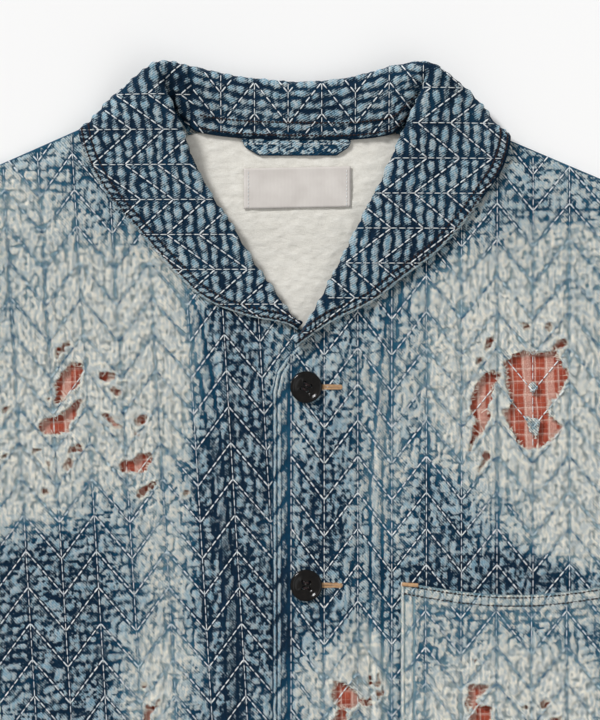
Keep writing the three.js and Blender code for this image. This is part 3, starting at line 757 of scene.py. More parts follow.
class Collar:
    """The collar's middle surface, measured along the roll (s) and across it (v)."""

    def __init__(self):
        controls = [collar_controls(station) for station in COLLAR_STATIONS]
        self.lines = [[c[k] for c in controls] for k in range(7)]
        self.t = np.linspace(0, 1, COLLAR_STEPS + 1)
        self.w = np.concatenate([np.linspace(0, 1, 25), np.linspace(1, 2, 41)[1:]])
        t, w = np.meshgrid(self.t, self.w, indexing="ij")
        points = self.at(t, w)
        across = np.linalg.norm(np.diff(points, axis=1), axis=2)
        v = np.concatenate([np.zeros((len(self.t), 1)), np.cumsum(across, axis=1)], axis=1)
        self.v = v - v[:, 24:25]
        behind = smooth(0.22, 0.34, self.t) * smooth(0.76, 0.64, self.t)
        measure = mix(1.5, 0.85, behind)
        line = self.at(self.t, measure)
        step = np.linalg.norm(np.diff(line, axis=0), axis=1)
        s = np.concatenate([[0], np.cumsum(step)])
        self.s = s - np.interp(0.5, self.t, s)

    def at(self, t, w):
        c = [curve_through(line, t) for line in self.lines]
        stand = cubic(c[0], c[1], c[2], c[3], np.clip(w, 0, 1))
        fall = cubic(c[3], c[4], c[5], c[6], np.clip(w - 1, 0, 1))
        return np.where((w <= 1)[..., None], stand, fall)

    def t_of(self, s):
        return np.interp(s, self.s, self.t)

    def span(self, s):
        """How far the stand and the fall reach from the roll line."""
        t = self.t_of(s)
        return np.interp(t, self.t, self.v[:, 0]), np.interp(t, self.t, self.v[:, -1])

    def w_of(self, s, v):
        """The place across the collar that is v from the roll line."""
        i = np.clip(self.t_of(s) * (len(self.t) - 1), 0, len(self.t) - 1).astype(int)
        rows = self.v[i]
        k = np.clip((rows < np.asarray(v)[..., None]).sum(-1), 1, rows.shape[-1] - 1)
        low = np.take_along_axis(rows, (k - 1)[..., None], -1)[..., 0]
        high = np.take_along_axis(rows, k[..., None], -1)[..., 0]
        part = np.clip((v - low) / np.maximum(high - low, 1e-6), 0, 1)
        return mix(self.w[k - 1], self.w[k], part)

    def surface(self, s, v):
        """Points and outward normals at s along the collar and v across it."""
        s, v = np.broadcast_arrays(np.asarray(s, float), np.asarray(v, float))
        t, w = self.t_of(s), self.w_of(s, v)
        here = self.at(t, w)
        along = self.at(np.clip(t + 0.002, 0, 1), w) - self.at(np.clip(t - 0.002, 0, 1), w)
        across = self.at(t, np.clip(w + 0.02, 0, 2)) - self.at(t, np.clip(w - 0.02, 0, 2))
        return here, unit(np.cross(along, across))


COLLAR = Collar()
COLLAR_HEM = (2.3, 7.2)


def collar_relief(s, v, x, y):
    """How high each point of the collar's cloth puckers, from 0 to 1."""
    low, high = COLLAR.span(s)
    to_edge = high - v
    turned = beads(y, x + np.where(s < 0, 0.10, -0.04) * y, 83, 6.9, 7.6, 0.9, 0.42)
    behind = beads(s, v, 85, 6.6, 7.6, 0.9, 0.42)
    body = mix(turned, behind, smooth(96, 86, np.abs(s)) * (v < 1))
    body = mix(body, worms(y, x, 88), 0.12)
    turn = 2 * np.pi * (s + 0.5 * to_edge) / 4.3 + 2.5 * noise(s / 14, v / 9, 87)
    roping = 0.5 + 0.5 * np.sin(turn)
    hem = smooth(COLLAR_HEM[1] + 1.8, COLLAR_HEM[1] + 0.4, to_edge)
    rows = sum(np.exp(-(((to_edge - row) / 0.9) ** 2)) for row in COLLAR_HEM)
    height = mix(body, 0.35 + 0.6 * roping, hem) * (1 - 0.6 * rows)
    return height * smooth(-0.5, 1.6, to_edge) * smooth(0, 2.5, v - low)


# ---- Shader nodes --------------------------------------------------------------------------


class Flow:
    """A shader socket that Python sums can use."""

    def __init__(self, tree, socket):
        self.tree, self.socket = tree, socket

    def node(self, kind, settings=None, inputs=None, output=0):
        return make_node(self.tree, kind, settings, inputs, output)

    def math(self, operation, *others, clamp=False):
        inputs = dict(enumerate((self, *others)))
        return self.node("ShaderNodeMath", {"operation": operation, "use_clamp": clamp}, inputs)

    def __add__(self, other):
        return self.math("ADD", other)

    __radd__ = __add__

    def __mul__(self, other):
        return self.math("MULTIPLY", other)

    __rmul__ = __mul__

    def __sub__(self, other):
        return self.math("SUBTRACT", other)

    def __rsub__(self, other):
        return self.node("ShaderNodeMath", {"operation": "SUBTRACT"}, {0: other, 1: self})

    def between(self, low, high):
        """0 below low and 1 above high, with an even curve between."""
        return self.node("ShaderNodeMapRange", {"interpolation_type": "SMOOTHSTEP"},
                         {"Value": self, "From Min": low, "From Max": high})

    def ramp(self, *stops):
        """A colour for each place: pairs of a place and a hex or linear colour."""
        return self.node("ShaderNodeValToRGB", {"stops": stops}, {"Fac": self})


def make_node(tree, kind, settings=None, inputs=None, output=0):
    node = tree.nodes.new(kind)
    for key, value in (settings or {}).items():
        if key == "stops":
            elements = node.color_ramp.elements
            while len(elements) < len(value):
                elements.new(0.5)
            for element, (place, code) in zip(elements, value):
                element.position = place
                element.color = linear(code) if isinstance(code, str) else (*code, 1.0)
        else:
            setattr(node, key, value)
    for key, value in (inputs or {}).items():
        if isinstance(value, Flow):
            tree.links.new(value.socket, node.inputs[key])
        else:
            node.inputs[key].default_value = value
    return Flow(tree, node.outputs[output])


def blend(tree, share, a, b, mode="MIX"):
    """A colour between a and b."""
    return make_node(tree, "ShaderNodeMix", {"data_type": "RGBA", "blend_type": mode},
                     {0: share, 6: a, 7: b}, output=2)


class Finish:
    """A new material with its shader, and the inputs that patterns are drawn from."""

    def __init__(self, name, roughness=0.9):
        self.material = bpy.data.materials.new(name)
        self.material.use_nodes = True
        self.tree = self.material.node_tree
        self.shader = self.tree.nodes["Principled BSDF"]
        self.shader.inputs["Roughness"].default_value = roughness
        self.shader.inputs["Specular IOR Level"].default_value = 0.25
        self.place = make_node(self.tree, "ShaderNodeTexCoord", output=3)

    def attribute(self, name):
        return make_node(self.tree, "ShaderNodeAttribute", {"attribute_name": name}, output=2)

    def noise(self, size_mm, detail=2.0, stretch=(1, 1, 1), rough=0.5):
        """Noise about 0.5, with lumps of a size in millimetres."""
        place = self.place
        if stretch != (1, 1, 1):
            place = make_node(self.tree, "ShaderNodeMapping", {}, {"Vector": place, "Scale": stretch})
        sizes = {"Vector": place, "Scale": 1000 / size_mm, "Detail": detail, "Roughness": rough}
        return make_node(self.tree, "ShaderNodeTexNoise", {}, sizes)

    def wave(self, direction, period_mm, shift=0.0):
        """A sine from 0 to 1 along a direction."""
        scaled = tuple(2 * np.pi * 1000 / period_mm * d for d in direction)
        along = make_node(self.tree, "ShaderNodeVectorMath", {"operation": "DOT_PRODUCT"},
                          {0: self.place, 1: scaled}, output=1)
        return (along + shift).math("SINE") * 0.5 + 0.5

    def color(self, value):
        self.set("Base Color", value)

    def set(self, name, value):
        if isinstance(value, Flow):
            self.tree.links.new(value.socket, self.shader.inputs[name])
        else:
            self.shader.inputs[name].default_value = value

    def bump(self, height, depth_mm, strength=1.0):
        normal = make_node(self.tree, "ShaderNodeBump", {},
                           {"Height": height, "Distance": depth_mm * MM, "Strength": strength})
        self.set("Normal", normal)
        return self.material


def denim_finish(name, twill_direction=(0.7, 0.7, 0.0)):
    """Indigo denim, worn pale on its ridges and dark in its grooves, where the dark is partly kept
    indigo and partly painted shade.
    """
    cloth = Finish(name, roughness=0.92)
    tree = cloth.tree
    relief, fade, edge, coarse, halo = (
        cloth.attribute(key) for key in ("relief", "fade", "edge", "coarse", "halo"))
    lumps = cloth.noise(2.2, detail=3.0, rough=0.65)
    grain = cloth.noise(0.75, detail=2.0, rough=0.6)
    fibre = cloth.noise(1.7, detail=2.0, stretch=(1.0, 0.35, 1.0), rough=0.6)
    patches = cloth.noise(26.0, detail=2.0)
    far_puckers = cloth.noise(4.4, detail=2.0, stretch=(1.0, 0.6, 1.0))
    far_puckers = far_puckers.between(0.32, 0.67) * 0.9
    relief = relief * (1 - coarse) + far_puckers * coarse
    jitter = (cloth.noise(7.0) - 0.5) * 9.0
    twill = cloth.wave(twill_direction, 1.3, shift=jitter)
    fine = (lumps - 0.5) * 1.6 + (grain - 0.5) * 1.8 + (fibre - 0.5) * 1.8
    tone = fade + (patches - 0.5) * 0.24 - halo * fade * (fine * 0.6 + 0.28)
    # Low relief picks the groove colour, so the hollows of the puckers and the troughs by the threads
    # are darkened partly as painted shade.
    mask = (relief - 0.5) * 1.4 + fine * 0.3 + (twill - 0.5) * 0.2 + tone * 0.34 + edge * 0.6
    mask = (mask + 0.43).between(0.32, 0.7)
    look = settings()
    groove = tone.ramp((0.0, look.indigo), (0.25, "03415f"), (0.5, "2f6a87"), (0.75, "8badb9"),
                       (1.0, "b9c4c2"))
    pale = tone + edge * 0.25
    cool = pale.ramp((0.0, "9cc6dc"), (0.3, "b4d5e5"), (0.6, "d0e2e8"), (1.0, "e2ebec"))
    warm = pale.ramp((0.0, "b7c4ca"), (0.3, "ccd4d3"), (0.6, "e8e5d9"), (1.0, look.worn))
    ridge = blend(tree, (lumps * 0.5 + fibre * 0.5).between(0.42, 0.58), cool, warm)
    color = blend(tree, mask, groove, ridge)
    shade = (fine * 0.62 + (twill - 0.5) * 0.5 + 0.55).between(0.1, 0.9)
    veil = blend(tree, shade, linear("5f7178"), linear("ffffff"))
    cloth.color(blend(tree, 0.66, color, veil, "MULTIPLY"))
    height = lumps * 0.7 + grain * 0.6 + fibre * 0.7 + twill * 0.3 + mask * 0.5
    return cloth.bump(height + far_puckers * coarse * 1.5, 1.3)


def lining_finish():
    cloth = Finish("Cream lining")
    dimples = cloth.noise(3.6, detail=2.0, stretch=(0.55, 1.0, 1.0))
    grain = cloth.noise(0.8)
    color = (dimples * 0.5 + grain * 0.5).ramp((0.25, "cac7be"), (0.5, "d9d6ce"), (0.75, "e3e1da"))
    cloth.color(color)
    return cloth.bump(dimples * 0.8 + grain * 0.3, 0.7)


def check_finish():
    """Brick red cotton with thin cream lines both ways."""
    cloth = Finish("Red check")
    tree = cloth.tree
    grain = cloth.noise(0.8)
    wash = cloth.noise(7.0)
    shift = (cloth.noise(16.0) - 0.5) * 1.6
    across, along = (1, 0.04, 0), (-0.03, 1, 0)
    broad = cloth.wave(across, 15.0, shift).between(0.55, 0.8)
    color = wash.ramp((0.3, "8f3d2c"), (0.55, settings().brick), (0.75, "b4604a"))
    color = blend(tree, broad * 0.62, color, linear("d4ab9c"))
    for direction, period, strength in ((across, 7.5, 0.42), (along, 8.6, 0.34),
                                        (across, 3.75, 0.14), (along, 4.3, 0.12)):
        line = cloth.wave(direction, period, shift).between(0.93, 0.99)
        color = blend(tree, line * strength, color, linear("ead6c8"))
    color = blend(tree, grain.between(0.35, 0.7) * 0.4, color, linear("6f2c20"))
    cloth.color(color)
    return cloth.bump(grain, 0.3)


def thread_finish(name, dark, pale, faded=None):
    """Twisted cotton thread, which takes the tone of the cloth round it."""
    thread = Finish(name, roughness=0.85)
    grain = thread.noise(1.1)
    color = grain.ramp((0.3, dark), (0.65, pale))
    if faded:
        washed = thread.noise(3.2).ramp((0.42, faded), (0.55, "c6d8e0"))
        color = blend(thread.tree, thread.attribute("fade").between(0.5, 0.85), color, washed)
    thread.color(color)
    return thread.bump(grain, 0.15)


def label_finish():
    cloth = Finish("Bare label", roughness=0.75)
    weave = cloth.wave((0, 1, 0), 0.7) * 0.5 + cloth.wave((1, 0, 0), 0.9) * 0.5
    cloth.color((cloth.noise(12.0) * 0.7 + weave * 0.3).ramp((0.3, "c3bdb8"), (0.7, "d4cfca")))
    return cloth.bump(weave, 0.08)


def button_finish():
    shell = Finish("Black button", roughness=0.14)
    shell.shader.inputs["Specular IOR Level"].default_value = 0.3
    clouds = shell.noise(3.0, detail=3.0)
    shell.color(clouds.ramp((0.35, "060505"), (0.7, settings().shell)))
    return shell.bump(shell.noise(6.0), 0.05)


FINISHES = {}


def finish_for(name):
    """The named material, made when it is first asked for."""
    makers = {
        "denim": lambda: denim_finish("Worn denim"),
        "collar denim": lambda: denim_finish("Collar denim", (0.5, -0.86, 0.0)),
        "lining": lining_finish,
        "check": check_finish,
        "sashiko": lambda: thread_finish("Sashiko thread", "c9d2d8", settings().thread, "3f6785"),
        "topstitch": lambda: thread_finish("Brown thread", "1a1315", "372a2b"),
        "buttonhole": lambda: thread_finish("Tan thread", "a5825f", "d1ae88"),
        "fibre": lambda: thread_finish("Frayed cotton", "cfc8b8", "efeade"),
        "label": label_finish,
        "button": button_finish,
    }
    if name not in FINISHES:
        FINISHES[name] = makers[name]()
    return FINISHES[name]


# ---- Stitches and threads ------------------------------------------------------------------

TOPSTITCH_PITCH = 2.7


def stitch_body():
    """One stitch a unit long, crowned in the middle and dipping into the cloth at both ends."""
    ring = [(0, 0.62), (0.5, 0.05), (0, -0.5), (-0.5, 0.05)]
    points = [(-0.5, 0, -0.35)]
    points += [(x, y, z) for x in (-0.3, 0.3) for y, z in ring] + [(0.5, 0, -0.35)]
    faces = []
    for k in range(4):
        n = (k + 1) % 4
        faces += [(0, 1 + k, 1 + n), (1 + k, 5 + k, 5 + n, 1 + n), (9, 5 + n, 5 + k)]
    return new_object("Stitch body", np.array(points) / MM, faces)


def laying_tree():
    """Geometry nodes that lay a body along the direction held by each point."""
    tree = bpy.data.node_groups.new("Lay along points", "GeometryNodeTree")
    for name, kind in (("Points", "NodeSocketGeometry"), ("Body", "NodeSocketObject"),
                       ("Thickness", "NodeSocketFloat"), ("Finish", "NodeSocketMaterial")):
        tree.interface.new_socket(name, in_out="INPUT", socket_type=kind)
    tree.interface.new_socket("Mesh", in_out="OUTPUT", socket_type="NodeSocketGeometry")

    def add(kind, **settings):
        node = tree.nodes.new(kind)
        for key, value in settings.items():
            setattr(node, key, value)
        return node

    def named(name, kind):
        node = add("GeometryNodeInputNamedAttribute", data_type=kind)
        node.inputs["Name"].default_value = name
        return node.outputs[0]

    link = tree.links.new
    group_in, group_out = add("NodeGroupInput"), add("NodeGroupOutput")
    body = add("GeometryNodeObjectInfo")
    lay = add("GeometryNodeInstanceOnPoints")
    along = add("FunctionNodeAlignRotationToVector", axis="X")
    upright = add("FunctionNodeAlignRotationToVector", axis="Z", pivot_axis="X")
    size = add("ShaderNodeCombineXYZ")
    real = add("GeometryNodeRealizeInstances")
    finish = add("GeometryNodeSetMaterial")
    width = add("ShaderNodeMath", operation="MULTIPLY")
    link(group_in.outputs["Body"], body.inputs["Object"])
    link(group_in.outputs["Points"], lay.inputs["Points"])
    link(body.outputs["Geometry"], lay.inputs["Instance"])
    link(named("along", "FLOAT_VECTOR"), along.inputs["Vector"])
    link(along.outputs[0], upright.inputs["Rotation"])
    link(named("up", "FLOAT_VECTOR"), upright.inputs["Vector"])
    link(upright.outputs[0], lay.inputs["Rotation"])
    link(named("weight", "FLOAT"), width.inputs[0])
    link(group_in.outputs["Thickness"], width.inputs[1])
    link(named("reach", "FLOAT"), size.inputs["X"])
    link(width.outputs[0], size.inputs["Y"])
    link(width.outputs[0], size.inputs["Z"])
    link(size.outputs[0], lay.inputs["Scale"])
    link(lay.outputs["Instances"], real.inputs["Geometry"])
    link(real.outputs["Geometry"], finish.inputs["Geometry"])
    link(group_in.outputs["Finish"], finish.inputs["Material"])
    link(finish.outputs["Geometry"], group_out.inputs["Mesh"])
    return tree


def shared(kind, name, maker):
    """A data block made once, by name."""
    return kind.get(name) or maker()


def upward(count):
    return np.tile([0.0, 0.0, 1.0], (count, 1))


def lay_stitches(name, points, along, up, reach, thickness, finish, weight=1.0, fade=0.0):
    """A piece made of stitches: middles, directions and reach in millimetres."""
    points, along, up = (np.asarray(v, float).reshape(-1, 3) for v in (points, along, up))
    count = len(points)
    obj = new_object(name, points, [])
    mesh = obj.data
    for key, values in (("along", unit(along)), ("up", unit(up))):
        mesh.attributes.new(key, "FLOAT_VECTOR", "POINT").data.foreach_set(
            "vector", values.astype(np.float32).ravel())
    numbers = {"reach": np.multiply(reach, MM), "weight": weight, "fade": fade}
    for key, values in numbers.items():
        values = np.broadcast_to(np.asarray(values, float), count).astype(np.float32)
        mesh.attributes.new(key, "FLOAT", "POINT").data.foreach_set("value", values)
    tree = shared(bpy.data.node_groups, "Lay along points", laying_tree)
    body = shared(bpy.data.objects, "Stitch body", stitch_body)
    modifier = obj.modifiers.new("Lay", "NODES")
    modifier.node_group = tree
    values = {"Body": body, "Thickness": thickness * MM, "Finish": finish_for(finish)}
    for item in tree.interface.items_tree:
        if item.in_out == "INPUT" and item.name in values:
            modifier[item.identifier] = values[item.name]
    apply_modifiers(obj)
    obj.data.polygons.foreach_set("use_smooth", [True] * len(obj.data.polygons))
    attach(obj, ROOT)
    return obj


def remove_stitch_body():
    body = bpy.data.objects.get("Stitch body")
    if body:
        bpy.data.objects.remove(body)


# The share of a stitch's length between the two points where its height is measured.
TOUCH = 0.8


class Ground:
    """The topmost surface of some finished pieces, in millimetres."""

    # Where the rays start, in metres above the table.
    START = 0.2

    def __init__(self, *pieces):
        graph = bpy.context.evaluated_depsgraph_get()
        self.trees = [BVHTree.FromObject(piece, graph) for piece in pieces]

    def height(self, x, y):
        return self.hits(x, y)[0]

    def hits(self, x, y):
        """Heights, and the face that was hit of the first piece or -1."""
        down, start = Vector((0, 0, -1)), self.START
        tops, faces = np.zeros(len(x)), np.full(len(x), -1)
        for k, (px, py) in enumerate(zip(x * MM, y * MM)):
            best = 0.0
            for n, tree in enumerate(self.trees):
                place, _, face, _ = tree.ray_cast(Vector((px, py, start)), down)
                if place is not None and place.z > best:
                    best = place.z
                    faces[k] = face if n == 0 else -1
            tops[k] = best / MM
        return tops, faces


def on_height(height, x, y, dx, dy, reach, lift):
    """Middles, directions and upward normals of stitches on a height field."""
    half = reach * TOUCH / 2
    low = height(x - dx * half, y - dy * half)
    high = height(x + dx * half, y + dy * half)
    middle = height(x, y)
    z = np.maximum(middle, 0.5 * (low + high)) + lift
    along = np.stack([dx * 2 * half, dy * 2 * half, high - low], -1)
    return np.stack([x, y, z], -1), along, upward(len(along))


# ---- The fronts ----------------------------------------------------------------------------

# The inner edge of each facing, which shows through the front: Y, then X.
RIDGE_LINES = {
    1: ([-372, 44, 103, 163, 223, 262], [50, 49, 48, 53.5, 60.5, 66]),
    -1: ([-372, 15, 46, 96, 146, 171, 213, 248], [-45, -45, -48, -53, -58.5, -62, -70, -87]),
}
FRONT_EDGE = [(FRONT_EDGE_X, HEM_Y), (FRONT_EDGE_X, 164), (-16, 177), (-10, 186), (-3, 193),
              (5, 201), (16.2, 219), (27.5, 234)]
# How high the bound front edge stands, by the distance from the edge.
EDGE_PROFILE = ([0.0, 0.9, 1.8, 2.7, 3.2, 3.8, 5.0, 6.0, 6.6, 9.6, 10.2, 10.7, 11.2],
                [0.05, 0.7, 0.95, 0.6, 0.02, 0.7, 0.95, 0.4, 0.6, 0.5, 0.16, 0.16, 0.5])


def edge_distance(x, y):
    """The distance from the front edge and the neck of the left front."""
    nearest = np.full(np.shape(x), FAR_OFF)
    for (x0, y0), (x1, y1) in zip(FRONT_EDGE, FRONT_EDGE[1:]):
        dx, dy = x1 - x0, y1 - y0
        along = np.clip(((x - x0) * dx + (y - y0) * dy) / (dx * dx + dy * dy), 0, 1)
        nearest = np.minimum(nearest, np.hypot(x - x0 - along * dx, y - y0 - along * dy))
    return nearest


def facing_ridge(x, y):
    """1 along the raised line of each facing, and -1 in the groove on each side of it."""
    at = np.where(x > 0, np.interp(y, *RIDGE_LINES[1]), np.interp(y, *RIDGE_LINES[-1]))
    away = np.abs(x - at)
    band = smooth(3.4, 2.2, away)
    ditch = 0.9 * np.exp(-(((away - 3.9) / 0.9) ** 2))
    fades = smooth(262, 235, y)
    return (band - ditch) * fades


def front_relief(x, y):
    relief = front_puckers(x, y)
    ridge = facing_ridge(x, y)
    raised = mix(relief, 0.34 + 0.36 * relief, ridge)
    return np.clip(np.where(ridge > 0, raised, relief * (1 + ridge)), 0, 1)


def left_relief(x, y):
    away = edge_distance(x, y)
    profile = np.interp(away, *EDGE_PROFILE) * (0.85 + 0.5 * noise(x / 2.2, y / 2.6, 33))
    return mix(front_relief(x, y), profile, smooth(12.4, 11.0, away) * smooth(200, 188, y))


def stitch_distance(x, y, stitches):
    """The distance from each point to the nearest line of stitches."""
    tree = KDTree(3 * len(stitches))
    for i, (sx, sy, dx, dy, reach, _) in enumerate(stitches):
        for k in (-1, 0, 1):
            place = (sx + k * dx * 0.36 * reach, sy + k * dy * 0.36 * reach, 0)
            tree.insert(place, 3 * i + k + 1)
    tree.balance()
    return np.array([tree.find((px, py, 0))[2] for px, py in zip(x, y)])


# The first column and row of each panel's zigzags, how far its columns lean, their pitch and how
# fast that grows.
PATTERNS = {
    "front_left": (-6.8, 107.3, 0.0, 21.35, 0.161),
    "front_right": (-134.0, 69.0, -0.06, COLUMN_PITCH, 0.0),
    "pocket": (80.6, 7.0, 0.0, COLUMN_PITCH, 0.0),
}


def close_share(x, y):
    """1 in the close-up part of the jacket, and 0 outside it."""
    left, right = CLOSE_UP["left"], CLOSE_UP["right"]
    bottom, top = CLOSE_UP["bottom"], CLOSE_UP["top"]
    inset = np.minimum(np.minimum(x - left, right - x), np.minimum(y - bottom, top - y))
    return smooth(-1, 6, inset)


def panel_height(top, relief, x, y):
    """The height of a panel whose cloth puckers, fully only in the close-up part."""
    return top(x, y) + settings().pucker_height / MM * mix(0.12, 1.0, close_share(x, y)) * relief


def make_panel(name, outline, top, relief, fade, extra_x=(), edge=None):
    """A puckered denim panel with its worn holes, on its CAD solid's form."""
    outline = [tuple(map(float, p)) for p in outline]
    xs_low, ys_low = np.min(outline, axis=0) - PANEL_MARGIN
    xs_high, ys_high = np.max(outline, axis=0) + PANEL_MARGIN
    xs = grid_lines(xs_low, xs_high, CLOSE_UP["left"], CLOSE_UP["right"], FINE, COARSE)
    ys = grid_lines(ys_low, ys_high, CLOSE_UP["bottom"], CLOSE_UP["top"], FINE, COARSE)
    xs = np.array(sorted({*np.round(xs, 3), *extra_x}))

    def keep(x, y):
        return np.minimum(distance_inside(outline, x, y), torn(name, x, y))

    x, y, faces = trimmed_grid(xs, ys, keep)
    pattern = PATTERNS[name]
    lines = sashiko(xs_low, xs_high, ys_low, ys_high, pattern[0], pattern[1],
                    lambda a, b: distance_inside(outline, a, b), *pattern[2:])
    away = stitch_distance(x, y, lines)
    worn = fade(x, y)
    height = relief(x, y) * (1 - 0.65 * np.exp(-((away / TROUGH_WIDTH) ** 2)))
    halo = np.exp(-((away / HALO_WIDTH) ** 2)) * (0.75 + 0.5 * noise(x / 6, y / 6, 45))
    rim = distance_inside(outline, x, y)
    hole = torn(name, x, y)
    height = height * smooth(0.0, 1.4, rim)
    curl = 1.2 * np.exp(-((hole / 1.3) ** 2)) * np.clip(0.3 + noise(x / 4, y / 4, 44), 0, 1)
    z = panel_height(top, height, x, y) + curl
    worn_edge = 0.5 * np.exp(-np.maximum(hole, 0) / 1.1) + (edge(x, y) if edge else 0.0)
    values = cloth_values(len(x), relief=height, fade=worn, edge=worn_edge,
                          halo=halo * smooth(0, 1.5, hole), coarse=1 - close_share(x, y))
    points = np.stack([x, y, z], 1)
    obj = new_object(name + "_cloth", points, faces, finish_for("denim"), values)
    thicken(obj, CLOTH * 0.8)
    stand_in(obj, "denim", name)
    sew_panel(obj, name, lines, fade)
    return obj


def sew_panel(obj, name, lines, fade):
    """The sashiko of a panel: thick zigzags and thin lines up the columns."""
    if name == "front_left":
        covered = distance_inside(pocket_outline(), lines[:, 0], lines[:, 1]) > 1.5
        lines = lines[~covered & (lines[:, 0] > FIRST_COLUMN_X)]
    x, y, dx, dy, reach, zigzag = lines.T
    patches = [other for other in bpy.data.objects
               if other.name.startswith("patch_") and other.name.endswith("_cloth")]
    ground = Ground(obj, *patches)
    middle, along, up = on_height(ground.height, x, y, dx, dy, reach, 0.18)
    reach = np.linalg.norm(along, axis=1) / TOUCH
    weight = mix(0.62, 1.0, zigzag) * (0.85 + 0.3 * lattice(np.floor(x * 7), np.floor(y * 7), 3))
    bridging = torn(name, x, y) < 0.5
    reach = np.where(bridging, reach * 1.12, reach)
    lay_stitches(name + "_sashiko", middle, along, up, reach, settings().thread_width / MM,
                 "sashiko", weight, np.where(bridging, 0.0, fade(x, y)))


class JACKET_OT_fronts(bpy.types.Operator):
    """Build both fronts with their puckers, worn holes and stitches"""

    bl_idname = "jacket.fronts"
    bl_label = "Fronts"

    def execute(self, context):
        close_lines = np.round(np.arange(-19.2, -5.0, 0.8), 3)

        def band(x, y):
            away = edge_distance(x, y)
            inner = smooth(3.2, 4.0, away) * smooth(6.2, 5.2, away)
            return 0.26 * smooth(2.8, 1.6, away) + 0.1 * inner

        left = make_panel("front_left", LEFT_FRONT, left_top, left_relief, front_fade, close_lines,
                          band)
        right = make_panel("front_right", RIGHT_FRONT, right_top, front_relief, front_fade)
        return {"FINISHED"}


# ---- Checked patches -----------------------------------------------------------------------

# The panel that each patch lies under, and the patch's lowest and highest X and Y.
PATCHES = {
    "patch_chest_right": (right_top, (-198, 86, -68, 206)),
    "patch_waist_right": (right_top, (-112, -76, -84, -22)),
    "patch_chest_left": (left_top, (88, 98, 190, 222)),
    "patch_front_edge": (left_top, (15, -76, 62, -14)),
    "patch_pocket": (pocket_top, (98, -76, 173, -4)),
}
PATCH_MESH = 2.0


class JACKET_OT_patches(bpy.types.Operator):
    """Build the checked patches that show through the worn holes"""

    bl_idname = "jacket.patches"
    bl_label = "Checked patches"

    def execute(self, context):
        for name, (over, (x0, y0, x1, y1)) in PATCHES.items():
            xs, ys = (np.arange(low, high + 0.1, PATCH_MESH) for low, high in ((x0, x1), (y0, y1)))
            outline = rectangle(x0, y0, x1, y1)
            x, y, faces = trimmed_grid(xs, ys, lambda a, b: distance_inside(outline, a, b) + 0.01)
            z = over(x, y) - CLOTH - SEAM_GAP + 0.35 * noise(x / 9, y / 7, 91)
            obj = new_object(name + "_cloth", np.stack([x, y, z], 1), faces, finish_for("check"))
            thicken(obj, PATCH_CLOTH * 0.6)
            stand_in(obj, "check", name)
        return {"FINISHED"}


# ---- The pocket ----------------------------------------------------------------------------

POCKET_HEM = 8.6
POCKET_ROWS = (2.0, 7.4)
# Two sag lines under the pocket's mouth: the cloth dips a little there, and the dip's colour is
# darkened as painted shadow.
POCKET_SAG_DIPS_AND_SHADOWS = (12.5, 17.5)
# How high the bound side of the pocket stands, by the distance from it.
SIDE_PROFILE = ([0, 0.8, 1.8, 2.6, 3.4, 7.4, 8.4, 9.6, 10.6],
                [0.2, 0.9, 0.9, 0.1, 0.6, 0.65, 0.1, 0.1, 0.6])


def pocket_relief(x, y):
    relief = front_puckers(x, y)
    below = pocket_mouth(x) - y
    turn = 2 * np.pi * (x + 0.35 * below) / 4.6 + 2.0 * noise(x / 11, y / 9, 31)
    roping = 0.5 + 0.5 * np.sin(turn)
    hem = smooth(POCKET_HEM + 1.6, POCKET_HEM, below)
    rows = sum(np.exp(-(((below - row) / 0.9) ** 2)) for row in POCKET_ROWS)
    drift = 2 * noise(x / 30, x * 0, 12)
    # The sag lines: shallow dips whose lowered relief also paints a dark shadow line.
    sag_dips_and_shadows = sum(np.exp(-(((below - at - drift) / 1.3) ** 2)) for at in POCKET_SAG_DIPS_AND_SHADOWS)
    relief = mix(relief, 0.3 + 0.7 * roping, hem) * (1 - 0.6 * rows) * (1 - 0.5 * sag_dips_and_shadows)
    from_side = x - POCKET["left"]
    profile = np.interp(from_side, *SIDE_PROFILE) * (0.85 + 0.5 * noise(x / 2.2, y / 2.6, 32))
    return np.clip(mix(relief, profile, smooth(10.4, 8.4, from_side) * smooth(1, 5, below)), 0, 1)


def pocket_fade(x, y):
    below = pocket_mouth(x) - y
    hem = 0.8 + 0.12 * noise(x / 12, y / 5, 73)
    upper = 0.6 + 0.2 * noise(x / 20, y / 12, 74)
    cloth = mix(upper, front_fade(x, y) + 0.14, smooth(14, 52, below))
    strip = smooth(10.4, 8.4, x - POCKET["left"])
    return np.clip(mix(mix(cloth, hem, smooth(11, 8, below)), 0.78, strip), 0, 1)


